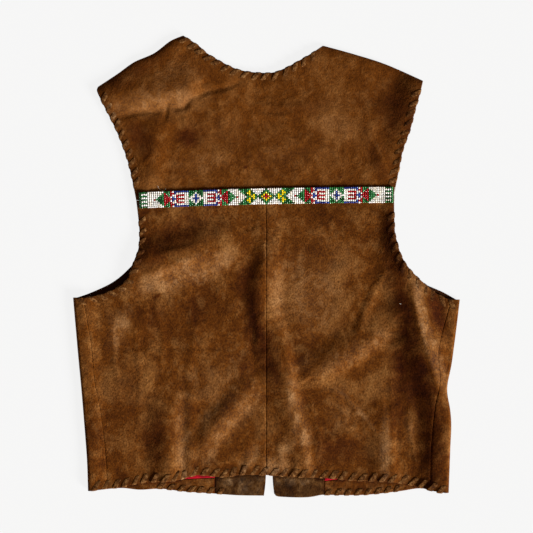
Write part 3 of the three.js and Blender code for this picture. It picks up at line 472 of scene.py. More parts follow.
def fill(bottom, top, left, right, u, v):
    """Points between four edges: rows along v from bottom to top, columns along u."""
    low, high = bottom.at(u), top.at(u)
    near, far = left.at(v), right.at(v)
    u, v = u[None, :, None], v[:, None, None]
    corners = ((1 - v) * ((1 - u) * low[0] + u * low[-1])
               + v * ((1 - u) * high[0] + u * high[-1]))
    return (1 - u) * near[:, None] + u * far[:, None] + (1 - v) * low + v * high - corners


def steps_between(length, step, corners):
    """Places from 0 to 1 with about one step between them, closer beside both ends."""
    fine = np.asarray(LIP_STEPS) / length
    margin = fine[-1] * LIP_CLEARANCE
    places = np.linspace(0, 1, max(int(length / step), 2) + 1)
    inside = places[(places > margin) & (places < 1 - margin)]
    places = np.concatenate([fine, inside, 1 - fine[::-1]])
    for corner in corners:
        places[np.argmin(np.abs(places - corner))] = corner
    return np.unique(places)


def grid(kind, across=(), upwards=()):
    """Places of a panel's columns and rows, with one at each corner of its outline."""
    width, column_step, length, row_step = GRIDS[kind]
    return {"u": steps_between(width, column_step, across),
            "v": steps_between(length, row_step, upwards)}


def shifted(rows, distance):
    """The same rows, moved across by a distance."""
    return [(x + distance, y) for x, y in rows]


class Half:
    """The left or the right half of the garment, with its tables."""

    def __init__(self, name, side, **tables):
        self.name, self.side = name, side
        for key, table in tables.items():
            setattr(self, key, table)

    def ordered(self, outer, middle):
        """From left to right, what lies at the garment's side and what at its middle."""
        return (outer, middle) if self.side < 0 else (middle, outer)


HALVES = [
    Half("left", -1, back_hem=BACK_HEM_LEFT, yoke_seam=YOKE_SEAM_LEFT, side_seam=SIDE_SEAM_LEFT,
         armhole=ARMHOLE_LEFT_LOWER, shoulder=SHOULDER_LEFT, side_edge=SIDE_EDGE_LEFT,
         front_hem=FRONT_HEM_LEFT, front_armhole=FRONT_ARMHOLE_LEFT, front_edge=FRONT_EDGE_LEFT,
         front_neck=FRONT_NECK_LEFT, facing_edge=FACING_EDGE_LEFT,
         facing_chest=FACING_CHEST_LEFT, facing_neck=FACING_NECK_LEFT,
         facing_widths=HEM_FACING_LEFT, lining_side=LINING_SIDE_LEFT,
         lining_armhole=LINING_ARMHOLE_LEFT),
    Half("right", 1, back_hem=BACK_HEM_RIGHT, yoke_seam=YOKE_SEAM_RIGHT,
         side_seam=SIDE_SEAM_RIGHT, armhole=ARMHOLE_RIGHT_LOWER, shoulder=SHOULDER_RIGHT,
         side_edge=SIDE_EDGE_RIGHT, front_hem=FRONT_HEM_RIGHT,
         front_armhole=FRONT_ARMHOLE_RIGHT, front_edge=FRONT_EDGE_RIGHT,
         front_neck=FRONT_NECK_RIGHT, facing_edge=FACING_EDGE_RIGHT,
         facing_chest=FACING_CHEST_RIGHT, facing_neck=FACING_NECK_RIGHT,
         facing_widths=HEM_FACING_RIGHT, lining_side=LINING_SIDE_RIGHT,
         lining_armhole=LINING_ARMHOLE_RIGHT),
]


# Relief of the back

def smooth_fall(share):
    """From 1 down to 0 as the share goes from 0 to 1, level at both ends."""
    return 0.5 + 0.5 * np.cos(np.pi * share)


def fold_height(fold, points):
    """A smooth swell along a crest, falling to nothing at its slopes' widths."""
    left, right, crest = fold
    nearest = np.full(points.shape[:-1], np.inf)
    height = np.zeros(points.shape[:-1])
    for (x0, y0, rise0), (x1, y1, rise1) in zip(crest, crest[1:]):
        run = np.array([x1 - x0, y1 - y0], float)
        offset = points - np.array([x0, y0])
        share = np.clip(offset @ run / (run @ run), 0, 1)
        distance = np.linalg.norm(offset - share[..., None] * run, axis=-1)
        side = run[0] * offset[..., 1] - run[1] * offset[..., 0]
        fall = np.minimum(distance / np.where(side > 0, left, right), 1)
        swell = (rise0 + (rise1 - rise0) * share) * smooth_fall(fall)
        closer = distance < nearest
        height = np.where(closer, swell, height)
        nearest = np.where(closer, distance, nearest)
    return height


def unevenness(points, spacing, seed):
    """Smooth random swells between -1 and 1, the same on every run."""
    lattice = np.random.default_rng(seed).uniform(-1, 1, (256, 256))
    place = points / spacing + 128.0
    cell = np.floor(place).astype(int)
    share = place - cell
    share = share * share * (3 - 2 * share)
    i, j = cell[..., 0] % 255, cell[..., 1] % 255
    low = lattice[i, j] * (1 - share[..., 0]) + lattice[i + 1, j] * share[..., 0]
    high = lattice[i, j + 1] * (1 - share[..., 0]) + lattice[i + 1, j + 1] * share[..., 0]
    return low * (1 - share[..., 1]) + high * share[..., 1]


def uneven(points, swells):
    """Several sizes of soft unevenness together."""
    return sum(size * unevenness(points, spacing, seed) for spacing, size, seed in swells)


def nap_and_painted_shading_tone(points):
    """Tone between -1 and 1 of the suede's pile and of the painted shade and painted highlights,
    from the patches and marks with uneven edges.
    """
    ragged = uneven(points, RAGGED_EDGES)
    tone = np.zeros(points.shape[:-1])
    for x, y, half_length, half_width, direction, amount in NAP_AND_PAINTED_SHADING_PATCHES + MARKS:
        turn = math.radians(direction)
        run = (points[..., 0] - x) * math.cos(turn) + (points[..., 1] - y) * math.sin(turn)
        side = (points[..., 1] - y) * math.cos(turn) - (points[..., 0] - x) * math.sin(turn)
        away = np.hypot(run / half_length, side / half_width) / PATCH_REACH + ragged * PATCH_RAGGED
        tone += amount * smooth_fall(np.clip(away, 0, 1))
    return np.clip(tone, -1, 1)


def nearest_on(line, points):
    """Distance to a line of points, and how far along it the nearest place is."""
    flat = points.reshape(-1, 2)
    best = np.full(len(flat), np.inf)
    place = np.zeros(len(flat))
    reached = 0.0
    for start, end in zip(line, line[1:]):
        run = end - start
        size = float(np.linalg.norm(run))
        if size < 1e-9:
            continue
        share = np.clip((flat - start) @ run / size ** 2, 0, 1)
        distance = np.linalg.norm(flat - start - share[:, None] * run, axis=1)
        closer = distance < best
        best[closer] = distance[closer]
        place[closer] = reached + share[closer] * size
        reached += size
    return best.reshape(points.shape[:-1]), place.reshape(points.shape[:-1])


def strew_wrinkles():
    """Short curved wrinkles, drawn mostly down the garment."""
    draws = np.random.default_rng(WRINKLE_SEED)
    folds = []
    for _ in range(WRINKLES["count"]):
        x, y = draws.uniform(*WRINKLES["x"]), draws.uniform(*WRINKLES["y"])
        length, width = draws.uniform(*WRINKLES["length"]), draws.uniform(*WRINKLES["width"])
        height, turn = draws.uniform(*WRINKLES["height"]), draws.normal(*WRINKLES["turn"])
        turn = math.radians(turn)
        bend = draws.uniform(*WRINKLES["bend"]) * length
        run = np.array([math.cos(turn), math.sin(turn)]) * length / 2
        side = np.array([-math.sin(turn), math.cos(turn)]) * bend
        middle = np.array([x, y])
        crest = [(*(middle - run), height * WRINKLE_END), (*(middle + side), height),
                 (*(middle + run), height * WRINKLE_END)]
        folds.append((width, width * draws.uniform(*WRINKLES["slopes"]), crest))
    return folds


STREWN = strew_wrinkles()


def folds_height(points):
    """All folds together. Small ones are worked out only where they reach."""
    swell = np.zeros(points.shape[:-1])
    for fold in LARGE_FOLDS:
        swell += fold_height(fold, points)
    for fold in SMALL_FOLDS + STREWN:
        crest = np.array(fold[2])[:, :2]
        reach = max(fold[0], fold[1])
        low, high = crest.min(axis=0) - reach, crest.max(axis=0) + reach
        near = np.all((points > low) & (points < high), axis=-1)
        if near.any():
            swell[near] += fold_height(fold, points[near])
    return swell


SHOULDERS = [
    along(spline(table), np.linspace(0, 1, 24)) for table in (SHOULDER_LEFT, SHOULDER_RIGHT)
]


def back_top(points):
    """Height of the back's outer face: its level, its folds and its roll at the shoulders."""
    swell = folds_height(points)
    for spacing, height, seed in HIDE_SWELLS:
        swell = swell + height * (0.5 + 0.5 * unevenness(points, spacing, seed))
    to_shoulder = np.minimum(*[nearest_on(line, points)[0] for line in SHOULDERS])
    roll = np.minimum(to_shoulder / SHOULDER_ROLL, 1)
    arch = np.sqrt(1 - (1 - roll) ** 2)
    return SHOULDER_LEVEL + (BACK_LEVEL + swell - SHOULDER_LEVEL) * arch


def lip(distance, shape):
    """How far a face drops beside a rounded edge."""
    share = np.clip(1 - distance / shape["width"], 0, 1)
    return shape["drop"] * share ** 2


def to_borders(points):
    """Distance of each point of a grid to each of the grid's four sides."""
    starts = {"left": points[:, :1], "right": points[:, -1:],
              "bottom": points[:1], "top": points[-1:]}
    return {side: np.linalg.norm(points - start, axis=-1) for side, start in starts.items()}


def shade_beside(distance, shape):
    """Shade that fades with the distance from an edge."""
    return np.clip(shape["start"] - distance / shape["reach"], 0, 1)


# Meshes

def mesh_object(name, points, faces, material, smooth_angle=50):
    mesh = bpy.data.meshes.new(name)
    mesh.from_pydata((np.asarray(points) * MM).tolist(), [], faces)
    mesh.materials.append(material)
    mesh.shade_smooth()
    mesh.set_sharp_from_angle(angle=math.radians(smooth_angle))
    piece = bpy.data.objects.new(name, mesh)
    bpy.context.collection.objects.link(piece)
    return piece


def store(piece, key, values):
    """Keep one number for each point of a piece, for its material."""
    layer = piece.data.attributes.new(key, "FLOAT", "POINT")
    layer.data.foreach_set("value", np.asarray(values, np.float32))


def wall(name, outer, inner, material, flip=False, inside=None, **values):
    """Closed wall between two grids of points. Places that aren't numbers have no cloth."""
    rows, columns = outer.shape[:2]
    index = np.arange(rows * columns).reshape(rows, columns)
    present = np.isfinite(outer[..., 0])
    cell = present[:-1, :-1] & present[:-1, 1:] & present[1:, 1:] & present[1:, :-1]
    ring = np.pad(cell, 1)
    a, b, c, d = index[:-1, :-1], index[:-1, 1:], index[1:, 1:], index[1:, :-1]
    under = rows * columns
    quads = [np.stack([a, b, c, d], -1)[cell], np.stack([a, d, c, b], -1)[cell] + under]
    borders = [
        (a, b, cell & ~ring[:-2, 1:-1]), (b, c, cell & ~ring[1:-1, 2:]),
        (c, d, cell & ~ring[2:, 1:-1]), (d, a, cell & ~ring[1:-1, :-2]),
    ]
    for start, end, edge in borders:
        quads.append(np.stack([start + under, end + under, end, start], -1)[edge])
    faces = np.vstack(quads)
    if flip:
        faces = faces[:, ::-1]
    used, faces = np.unique(faces, return_inverse=True)
    points = np.vstack([outer.reshape(-1, 3), inner.reshape(-1, 3)])[used]
    piece = mesh_object(name, points, faces.reshape(-1, 4).tolist(), material)
    if inside is not None:
        piece.data.materials.append(inside)
        on_inside = np.zeros(len(faces.reshape(-1, 4)), np.int32)
        on_inside[len(quads[0]):len(quads[0]) + len(quads[1])] = 1
        piece.data.polygons.foreach_set("material_index", on_inside)
    for key, kept in values.items():
        store(piece, key, np.concatenate([kept.ravel(), kept.ravel()])[used])
    return piece


def raised(points, heights):
    return np.concatenate([points, np.broadcast_to(heights, points.shape[:-1])[..., None]], -1)


def replace(piece, node):
    """Let a piece ride the one body and take the place of a solid."""
    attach(piece, "root")
    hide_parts(node)


def lay_sheet(piece, slot, node, held, **rests):
    """A piece that was cut flat takes the place of a solid."""
    replace(piece, node)


# Materials

class Shader:
    """A material whose nodes are added one by one and joined by their sockets' names."""

    def __init__(self, name):
        self.material = bpy.data.materials.new(name)
        self.material.use_nodes = True
        self.tree = self.material.node_tree
        self.surface = self.tree.nodes["Principled BSDF"]

    def set(self, node, **inputs):
        """Give a node its inputs, each a value or the socket that it comes from."""
        for key, value in inputs.items():
            self.join(node.inputs[key.replace("_", " ")], value)
        return node

    def join(self, socket, value):
        if isinstance(value, bpy.types.NodeSocket):
            self.tree.links.new(value, socket)
        else:
            socket.default_value = value

    def add(self, kind, settings=None, **inputs):
        node = self.tree.nodes.new(kind)
        for key, value in (settings or {}).items():
            setattr(node, key, value)
        return self.set(node, **inputs)

    def finish(self, **inputs):
        """Set the surface and hand the material out."""
        self.set(self.surface, **inputs)
        return self.material

    def place(self, stretch=(1, 1, 1)):
        coordinates = self.add("ShaderNodeTexCoord")
        mapping = self.add("ShaderNodeMapping", Vector=coordinates.outputs["Object"],
                           Scale=stretch)
        return mapping.outputs["Vector"]

    def kept(self, key):
        """What is stored for each point of the piece."""
        return self.add("ShaderNodeAttribute", {"attribute_name": key}).outputs

    def noise(self, scale, detail=3.0, roughness=0.55, distortion=0.0, stretch=(1, 1, 1)):
        node = self.add("ShaderNodeTexNoise", Vector=self.place(stretch), Scale=scale,
                        Detail=detail, Roughness=roughness, Distortion=distortion)
        return node.outputs["Fac"]

    def ramp(self, factor, *stops):
        """Colours by a factor, each stop a position and red, green and blue."""
        node = self.add("ShaderNodeValToRGB", Fac=factor)
        elements = node.color_ramp.elements
        last = elements[1]
        elements[0].position, elements[0].color = stops[0][0], (*stops[0][1], 1)
        last.position, last.color = stops[-1][0], (*stops[-1][1], 1)
        for position, colour in stops[1:-1]:
            elements.new(position).color = (*colour, 1)
        return node.outputs["Color"]

    def tones(self, factor, *stops):
        """A ramp whose colours are sRGB, 0 to 255."""
        return self.ramp(factor, *[(position, linear(colour)[:3]) for position, colour in stops])

    def mix(self, factor, first, second, blend="MIX"):
        node = self.add("ShaderNodeMix", {"data_type": "RGBA", "blend_type": blend})
        for key, value in ((0, factor), (6, first), (7, second)):
            self.join(node.inputs[key], value)
        return node.outputs[2]

    def bump(self, height, strength, distance, **normal):
        node = self.add("ShaderNodeBump", Height=height, Strength=strength, Distance=distance,
                        **normal)
        return node.outputs["Normal"]


def lean_nap_and_painted_shading(shader, colour):
    """Darken or lighten a colour by the tone kept for each point: the suede's own tone, painted
    shade and painted highlights.
    """
    lean = shader.add("ShaderNodeMapRange", Value=shader.kept("nap")["Fac"], From_Min=-1.0)
    lean = lean.outputs["Result"]
    # Low tones darken and high tones lighten, as the pile's own tone or as painted shade and
    # painted highlights; the highest are also paled towards grey
    tone = shader.ramp(lean, (0.0, (0.46, 0.3, 0.1)), (0.5, (1, 1, 1)), (1.0, (1.7, 2.1, 3.3)))
    bloom = shader.ramp(lean, (0.5, (0, 0, 0)), (1.0, (0, 0.006, 0.009)))
    return shader.mix(1.0, shader.mix(1.0, colour, tone, "MULTIPLY"), bloom, "ADD")


def suede(name, dark, middle, light, painted_shade_tone, grain_share=0.9):
    """Napped leather: cloudy tone, brushed patches and a fine fibre."""
    shader = Shader(name)
    clouds = shader.noise(16.0, 5.0, 0.62, 0.4)
    mottle = shader.noise(70.0, 5.0, 0.62, 0.2, (1.0, 0.8, 1.0))
    fibre = shader.noise(520.0, 3.0, 0.7, 0.0, (1.0, 0.7, 1.0))
    tone = shader.tones(clouds, (0.35, dark), (0.5, middle), (0.65, light))
    patches = shader.tones(mottle, (0.35, dark), (0.5, middle), (0.66, light))
    colour = shader.mix(0.48, tone, patches)
    grain = shader.ramp(fibre, (0.34, (0.45, 0.4, 0.32)), (0.66, (1.5, 1.56, 1.66)))
    colour = lean_nap_and_painted_shading(shader, shader.mix(grain_share, colour, grain, "MULTIPLY"))
    # Painted shade beside the laced edges and inside the fronts' armholes, mixed towards a dark
    # tone
    colour = shader.mix(shader.kept("edge_shade")["Fac"], colour, linear(painted_shade_tone))
    fine = shader.bump(fibre, 0.7, 0.0006)
    coarser = shader.bump(mottle, 0.3, 0.0016, Normal=fine)
    return shader.finish(
        Base_Color=colour, Roughness=0.96, Specular_IOR_Level=0.08, Sheen_Weight=0.04,
        Sheen_Roughness=0.5, Sheen_Tint=linear((190, 140, 95)),
        Normal=shader.bump(clouds, 0.4, 0.008, Normal=coarser))


def thong_leather():
    shader = Shader("thong_leather")
    patches = shader.noise(260.0, 4.0, 0.72)
    grain = shader.bump(shader.noise(900.0, 2.0, 0.6), 0.4, 0.0003)
    colour = shader.tones(patches, (0.34, (44, 22, 4)), (0.5, (90, 53, 19)),
                          (0.68, (140, 101, 58)))
    return shader.finish(
        Base_Color=lean_nap_and_painted_shading(shader, colour), Roughness=0.9, Specular_IOR_Level=0.1,
        Normal=shader.bump(patches, 0.5, 0.0009, Normal=grain))


def red_cloth():
    """Plain woven lining: fine crossed threads over an uneven red."""
    shader = Shader("red_lining_cloth")
    threads = [
        shader.add("ShaderNodeTexWave", {"wave_type": "BANDS", "bands_direction": direction},
                   Vector=shader.place(), Scale=420.0, Distortion=0.6, Detail=1.0)
        for direction in "XY"
    ]
    weave = shader.mix(0.5, *[waves.outputs["Color"] for waves in threads])
    colour = shader.tones(shader.noise(120.0, 4.0), (0.3, (112, 0, 12)), (0.7, (176, 0, 28)))
    return shader.finish(Base_Color=colour, Roughness=0.8, Specular_IOR_Level=0.15,
                         Normal=shader.bump(weave, 0.5, 0.0003))


def bead_glass():
    """Opaque glass whose colour is kept for each bead."""
    shader = Shader("bead_glass")
    clouding = shader.noise(900.0, 2.0)
    tone = shader.ramp(clouding, (0.3, (0.86, 0.86, 0.86)), (0.7, (1.08, 1.08, 1.08)))
    colour = shader.mix(1.0, shader.kept("bead_colour")["Color"], tone, "MULTIPLY")
    return shader.finish(Base_Color=colour, Roughness=0.22, Coat_Weight=0.4,
                         Coat_Roughness=0.1)


def thread():
    shader = Shader("beading_thread")
    twist = shader.noise(2600.0, 1.0)
    colour = shader.tones(twist, (0.3, (190, 182, 168)), (0.7, (236, 232, 222)))
    return shader.finish(Base_Color=colour, Roughness=0.7, Normal=shader.bump(twist, 0.5, 0.0001))


SUEDE = suede("suede_back", (62, 26, 0), (93, 49, 7), (131, 87, 43), painted_shade_tone=(62, 30, 4))
YOKE_SUEDE = suede("suede_yoke", (70, 32, 0), (93, 49, 7), (122, 78, 36),
                   painted_shade_tone=(62, 30, 4), grain_share=0.66)
INSIDE = suede("suede_inside", (30, 13, 2), (62, 35, 9), (116, 80, 42), painted_shade_tone=(52, 26, 9))
THONG = thong_leather()
RED = red_cloth()
GLASS = bead_glass()
THREAD = thread()


def laced(node, table, cloth, slant, reach):
    """An edge with its lacing: cloth is 1 where it lies to the line's left, -1 to its right."""
    return {"node": node, "line": spline(table), "cloth": cloth, "slant": slant * LACE_SLANT,
            "reach": reach}


LACED_EDGES = [
    laced("lace_neck", NECK, -1, -1, 10.5),
    laced("lace_hem", [(-237.0, -302.6)] + BACK_HEM_LEFT + BACK_HEM_RIGHT[1:]
          + [(232.0, -304.4), (244.4, -305.2)], 1, 1, 11.5),
    laced("lace_armhole_left_lower",
          [(-257.0, -42.6)] + ARMHOLE_LEFT_LOWER[:-1] + [(-174.6, 77.0)], -1, 1, 9.0),
    laced("lace_armhole_left_upper",
          [(-178.4, 104.0)] + ARMHOLE_LEFT_UPPER[1:-1] + [(-228.4, 240.0)], -1, 1, 10.0),
    laced("lace_armhole_right_lower",
          [(257.0, -45.8)] + ARMHOLE_RIGHT_LOWER[:-1] + [(172.2, 82.0)], 1, -1, 11.0),
    laced("lace_armhole_right_upper",
          [(173.8, 110.0)] + ARMHOLE_RIGHT_UPPER[1:-1] + [(210.4, 247.0)], 1, -1, 10.5),
]
SAMPLE_STEP = 4


def lacing_effects(points):
    """How far the lacing draws the cloth down, and how much painted shade lies on the edge,
    deepest where the cloth dips between the turns.
    """
    pull = np.zeros(points.shape[:-1])
    shade = np.zeros(points.shape[:-1])
    for edge in LACED_EDGES:
        samples = int(length_of(edge["line"]) / SAMPLE_STEP)
        distance, place = nearest_on(along(edge["line"], np.linspace(0, 1, samples)), points)
        near = np.clip(1 - distance / PUCKER_REACH, 0, 1)
        wave = 0.5 + 0.5 * np.cos(2 * np.pi * place / LACE_PITCH)
        pull = np.maximum(pull, PUCKER_DEPTH * near * wave)
        darker = LACE_SHADE_BETWEEN + (1 - LACE_SHADE_BETWEEN) * wave
        shade = np.maximum(shade, LACE_SHADE * near * darker)
    return pull, np.clip(shade, 0, 1)


# Back panels

def back_panel(name, node, points, lips, rests_on, material=SUEDE):
    top = back_top(points)
    pull, shade = lacing_effects(points)
    outer = top - pull
    borders = to_borders(points)
    for side, shape in lips.items():
        outer = outer - lip(borders[side], shape)
    inner = np.minimum(top - LEATHER, outer - LIP_LEATHER)
    # The panel keeps the lacing's painted shade at its edges, and the pile's tone with the painted
    # shading of its folds
    piece = wall(name, raised(points, outer), raised(points, inner), material,
                 edge_shade=shade, nap=nap_and_painted_shading_tone(points))
    lay_sheet(piece, "suede", node, "laid", rests_on=rests_on)


def yoke():
    points = fill(
        bottom=Edge(YOKE_SEAM_LEFT, YOKE_SEAM_RIGHT, offset=(0, HALF_GAP)),
        top=Edge(SHOULDER_LEFT, NECK, SHOULDER_RIGHT,
                 shares=[SHOULDER_SHARE, NECK_SHARE, SHOULDER_SHARE]),
        left=Edge(ARMHOLE_LEFT_UPPER), right=Edge(ARMHOLE_RIGHT_UPPER),
        **grid("yoke", across=(SHOULDER_SHARE, SHOULDER_SHARE + NECK_SHARE)))
    lips = {"left": EDGE_LIP, "right": EDGE_LIP, "top": EDGE_LIP, "bottom": OPEN_LIP}
    back_panel("yoke_suede", "back_yoke", points, lips,
               ["front_left_suede", "front_right_suede"], YOKE_SUEDE)


def lower_back(half):
    side = Edge(half.side_seam, half.armhole, shares=[SIDE_SHARE, 1 - SIDE_SHARE])
    centre = Edge([(CENTRE_SEAM_X, BACK_HEM_RIGHT[0][1]),
                   (CENTRE_SEAM_X, YOKE_SEAM_RIGHT[0][1] - HALF_GAP)])
    left, right = half.ordered(side, centre)
    points = fill(Edge(half.back_hem), Edge(half.yoke_seam, offset=(0, -HALF_GAP)), left, right,
                  **grid("lower_back", upwards=(SIDE_SHARE,)))
    lips = {"left": SEAM_LIP, "right": SEAM_LIP, "top": OPEN_LIP, "bottom": EDGE_LIP}
    back_panel(f"lower_back_{half.name}_suede", f"back_lower_{half.name}", points, lips,
               [f"lining_{half.name}_cloth", f"front_{half.name}_suede"])


# Fronts

def wrap_sections(edge, seam, side):
    """Outer and inner points from each side seam, along the back face and round the fold."""
    start = edge - np.array([side * FOLD_DEPTH, 0.0])
    shares = np.concatenate([np.asarray(LIP_STEPS[:3]) / WRAP_LENGTH,
                             np.linspace(WRAP_START, 1, WRAP_STEPS)])
    flat = seam[:, None] + (start - seam)[:, None] * shares[:-1][None, :, None]
    top = back_top(flat)
    pull, shade = lacing_effects(flat)
    away = np.linalg.norm(flat - flat[:, :1], axis=-1)
    outer = top - pull - lip(away, SEAM_LIP)
    flat_outer = raised(flat, outer)
    flat_inner = raised(flat, np.minimum(top - LEATHER, outer - LIP_LEATHER))
    fold_pull, fold_shade = lacing_effects(start)
    middle = (back_top(start) - fold_pull) / 2
    turn = np.pi * (0.5 - np.arange(FOLD_TURNS) / FOLD_TURNS)

    def bend(depth, height):
        x = start[:, :1] + side * depth * np.cos(turn)
        y = np.broadcast_to(start[:, 1:], x.shape)
        return np.stack([x, y, middle[:, None] + height[:, None] * np.sin(turn)], -1)

    outer = np.concatenate([flat_outer, bend(FOLD_DEPTH, middle)], 1)
    inner = np.concatenate([flat_inner, bend(FOLD_DEPTH - LEATHER, middle - LEATHER)], 1)
    shades = np.concatenate([shade, fold_shade[:, None] * np.clip(np.sin(turn), 0, 1)], 1)
    return outer, inner, shades


def front(half):
    """One front, from its free edge to its side and round the fold to the side seam."""
    shares = [FRONT_SHARE, 1 - FRONT_SHARE]
    side = Edge(shifted(half.side_edge, -half.side * FOLD_DEPTH), half.front_armhole,
                shares=shares)
    centre = Edge(half.front_edge, half.front_neck, shares=shares)
    left, right = half.ordered(side, centre)
    places = grid("front", upwards=(FRONT_SHARE,))
    panel = fill(Edge(half.front_hem), Edge(half.shoulder), left, right, **places)
    if half.side > 0:
        panel = panel[:, ::-1]
    rows = places["v"][places["v"] <= FRONT_SHARE + 1e-9] / FRONT_SHARE
    edge = along(spline(half.side_edge), rows)
    seam = along(spline(half.side_seam), rows)
    outer, inner, shade = wrap_sections(edge, seam, half.side)
    missing = np.full((len(panel) - len(rows),) + outer.shape[1:], np.nan)
    outer = np.concatenate([np.concatenate([outer, missing]), raised(panel, 0.0)], 1)
    inner = np.concatenate([np.concatenate([inner, missing]), raised(panel, LEATHER)], 1)
    # Painted shade on the front's inside beside its armhole, where the back shades it, and the
    # lacing's painted shade round the fold
    to_armhole, _ = nearest_on(spline(half.front_armhole), panel)
    shades = np.zeros(outer.shape[:2])
    shades[:, -panel.shape[1]:] = shade_beside(to_armhole, ARMHOLE_SHADE)
    shades[:shade.shape[0], :shade.shape[1]] = shade
    nap = nap_and_painted_shading_tone(np.nan_to_num(outer[..., :2]))
    piece = wall(f"front_{half.name}_suede", outer, inner, SUEDE, flip=half.side < 0,
                 inside=INSIDE, edge_shade=shades, nap=nap)
    lay_sheet(piece, "suede", f"front_{half.name}", "folded")


# Facings and linings

BACK_HEM = along(spline(BACK_HEM_LEFT + BACK_HEM_RIGHT[1:]), np.linspace(0, 1, 80))


def hem_between(hem, start, end):
    """The hem's rows between two places, with those places as its ends."""
    return [start] + [row for row in hem if start[0] < row[0] < end[0]] + [end]


def covered_nap_and_painted_shade(points):
    """Uneven tone of the pile, with painted shade beside the back's hem, where it lies in the
    hem's shade, and deeper painted shade at the joins.
    """
    to_hem, _ = nearest_on(BACK_HEM, points)
    joins = [np.abs(points[..., 0] - half.facing_edge[0][0]) for half in HALVES]
    at_hem = shade_beside(to_hem, HEM_SHADE)
    at_join = shade_beside(np.minimum(*joins), JOIN_SHADE)
    return np.clip(uneven(points, COVERED_NAP) - at_hem - JOIN_DEPTH * at_join, -1, 1)


def inner_panel(half, name, fabric, slot, material, points):
    """A facing or a lining: level, with faint waves, laid on its front."""
    border = np.minimum.reduce(list(to_borders(points).values()))
    waves = uneven(points, FACING_WAVES)
    outer = FACING_TOP - FACING_WAVE + waves - lip(border, EDGE_LIP)
    node = f"{name}_{half.name}"
    piece = wall(f"{node}_{fabric}", raised(points, outer), raised(points, FACING_UNDERSIDE),
                 material, nap=covered_nap_and_painted_shade(points))
    lay_sheet(piece, slot, node, "laid", rests_on=[f"front_{half.name}_suede"])


def front_facing(half):
    hem = hem_between(half.front_hem, *half.ordered(half.facing_edge[0], half.front_edge[0]))
    left, right = half.ordered(Edge(half.facing_edge, half.facing_chest),
                               Edge(half.front_edge, half.facing_neck))
    top = Edge(half.ordered(half.facing_chest[-1], half.facing_neck[-1]))
    places = grid("front_facing", upwards=(CHEST_SHARE,))
    fine_rows = np.linspace(**FACING_FINE_ROWS)
    places["v"] = np.unique(np.concatenate([places["v"], fine_rows]))
    points = fill(Edge(hem), top, left, right, **places)
    inner_panel(half, "front_facing", "suede", "suede", INSIDE, points)


def hem_facing_rows(half):
    """Closely spaced points of a hem facing's lower and upper edge."""
    corner = half.front_hem[0 if half.side < 0 else -1]
    outer_end = shifted([corner], -half.side * HEM_FACING_END)[0]
    inner_end = shifted(half.facing_edge, half.side * GAP)[0]
    lower = spline(hem_between(half.front_hem, *half.ordered(outer_end, inner_end)))
    places, widths = np.transpose(half.facing_widths)
    upper = lower + np.array([0.0, 1.0]) * np.interp(lower[:, :1], places, widths)
    return lower, upper


def hem_facing(half):
    lower, upper = hem_facing_rows(half)
    points = fill(Edge(lower), Edge(upper), Edge([lower[0], upper[0]]),
                  Edge([lower[-1], upper[-1]]), **grid("hem_facing"))
    inner_panel(half, "hem_facing", "suede", "suede", SUEDE, points)


def lining(half):
    bottom = hem_facing_rows(half)[1] + np.array([0.0, GAP])
    outer_end, inner_end = half.ordered(bottom[0], bottom[-1])
    facing_corner = shifted(half.facing_edge, half.side * GAP)[1]
    chest = shifted(half.facing_chest, half.side * GAP)
    left, right = half.ordered(Edge([outer_end] + half.lining_side, half.lining_armhole),
                               Edge([inner_end, facing_corner], chest))
    top = Edge(half.ordered(half.lining_armhole[-1], chest[-1]))
    points = fill(Edge(bottom), top, left, right, **grid("lining", upwards=(CHEST_SHARE,)))
    inner_panel(half, "lining", "cloth", "lining", RED, points)


# Lacing

def stitch_faces(first, rings):
    faces = []
    for ring in range(rings - 1):
        for k in range(THONG_SECTION):
            a = first + ring * THONG_SECTION + k
            b = first + ring * THONG_SECTION + (k + 1) % THONG_SECTION
            faces.append((a, b, b + THONG_SECTION, a + THONG_SECTION))
    faces.append(tuple(first + k for k in reversed(range(THONG_SECTION))))
    last = first + (rings - 1) * THONG_SECTION
    faces.append(tuple(last + k for k in range(THONG_SECTION)))
    return faces


def edge_frame(line, place):
    """Point, tangent and left normal of a line at a distance along it."""
    length = length_of(line)
    before, point, after = along(line, np.clip(
        np.array([place - 1.0, place, place + 1.0]) / length, 0, 1))
    tangent = (after - before) / np.linalg.norm(after - before)
    return point, tangent, np.array([-tangent[1], tangent[0]])


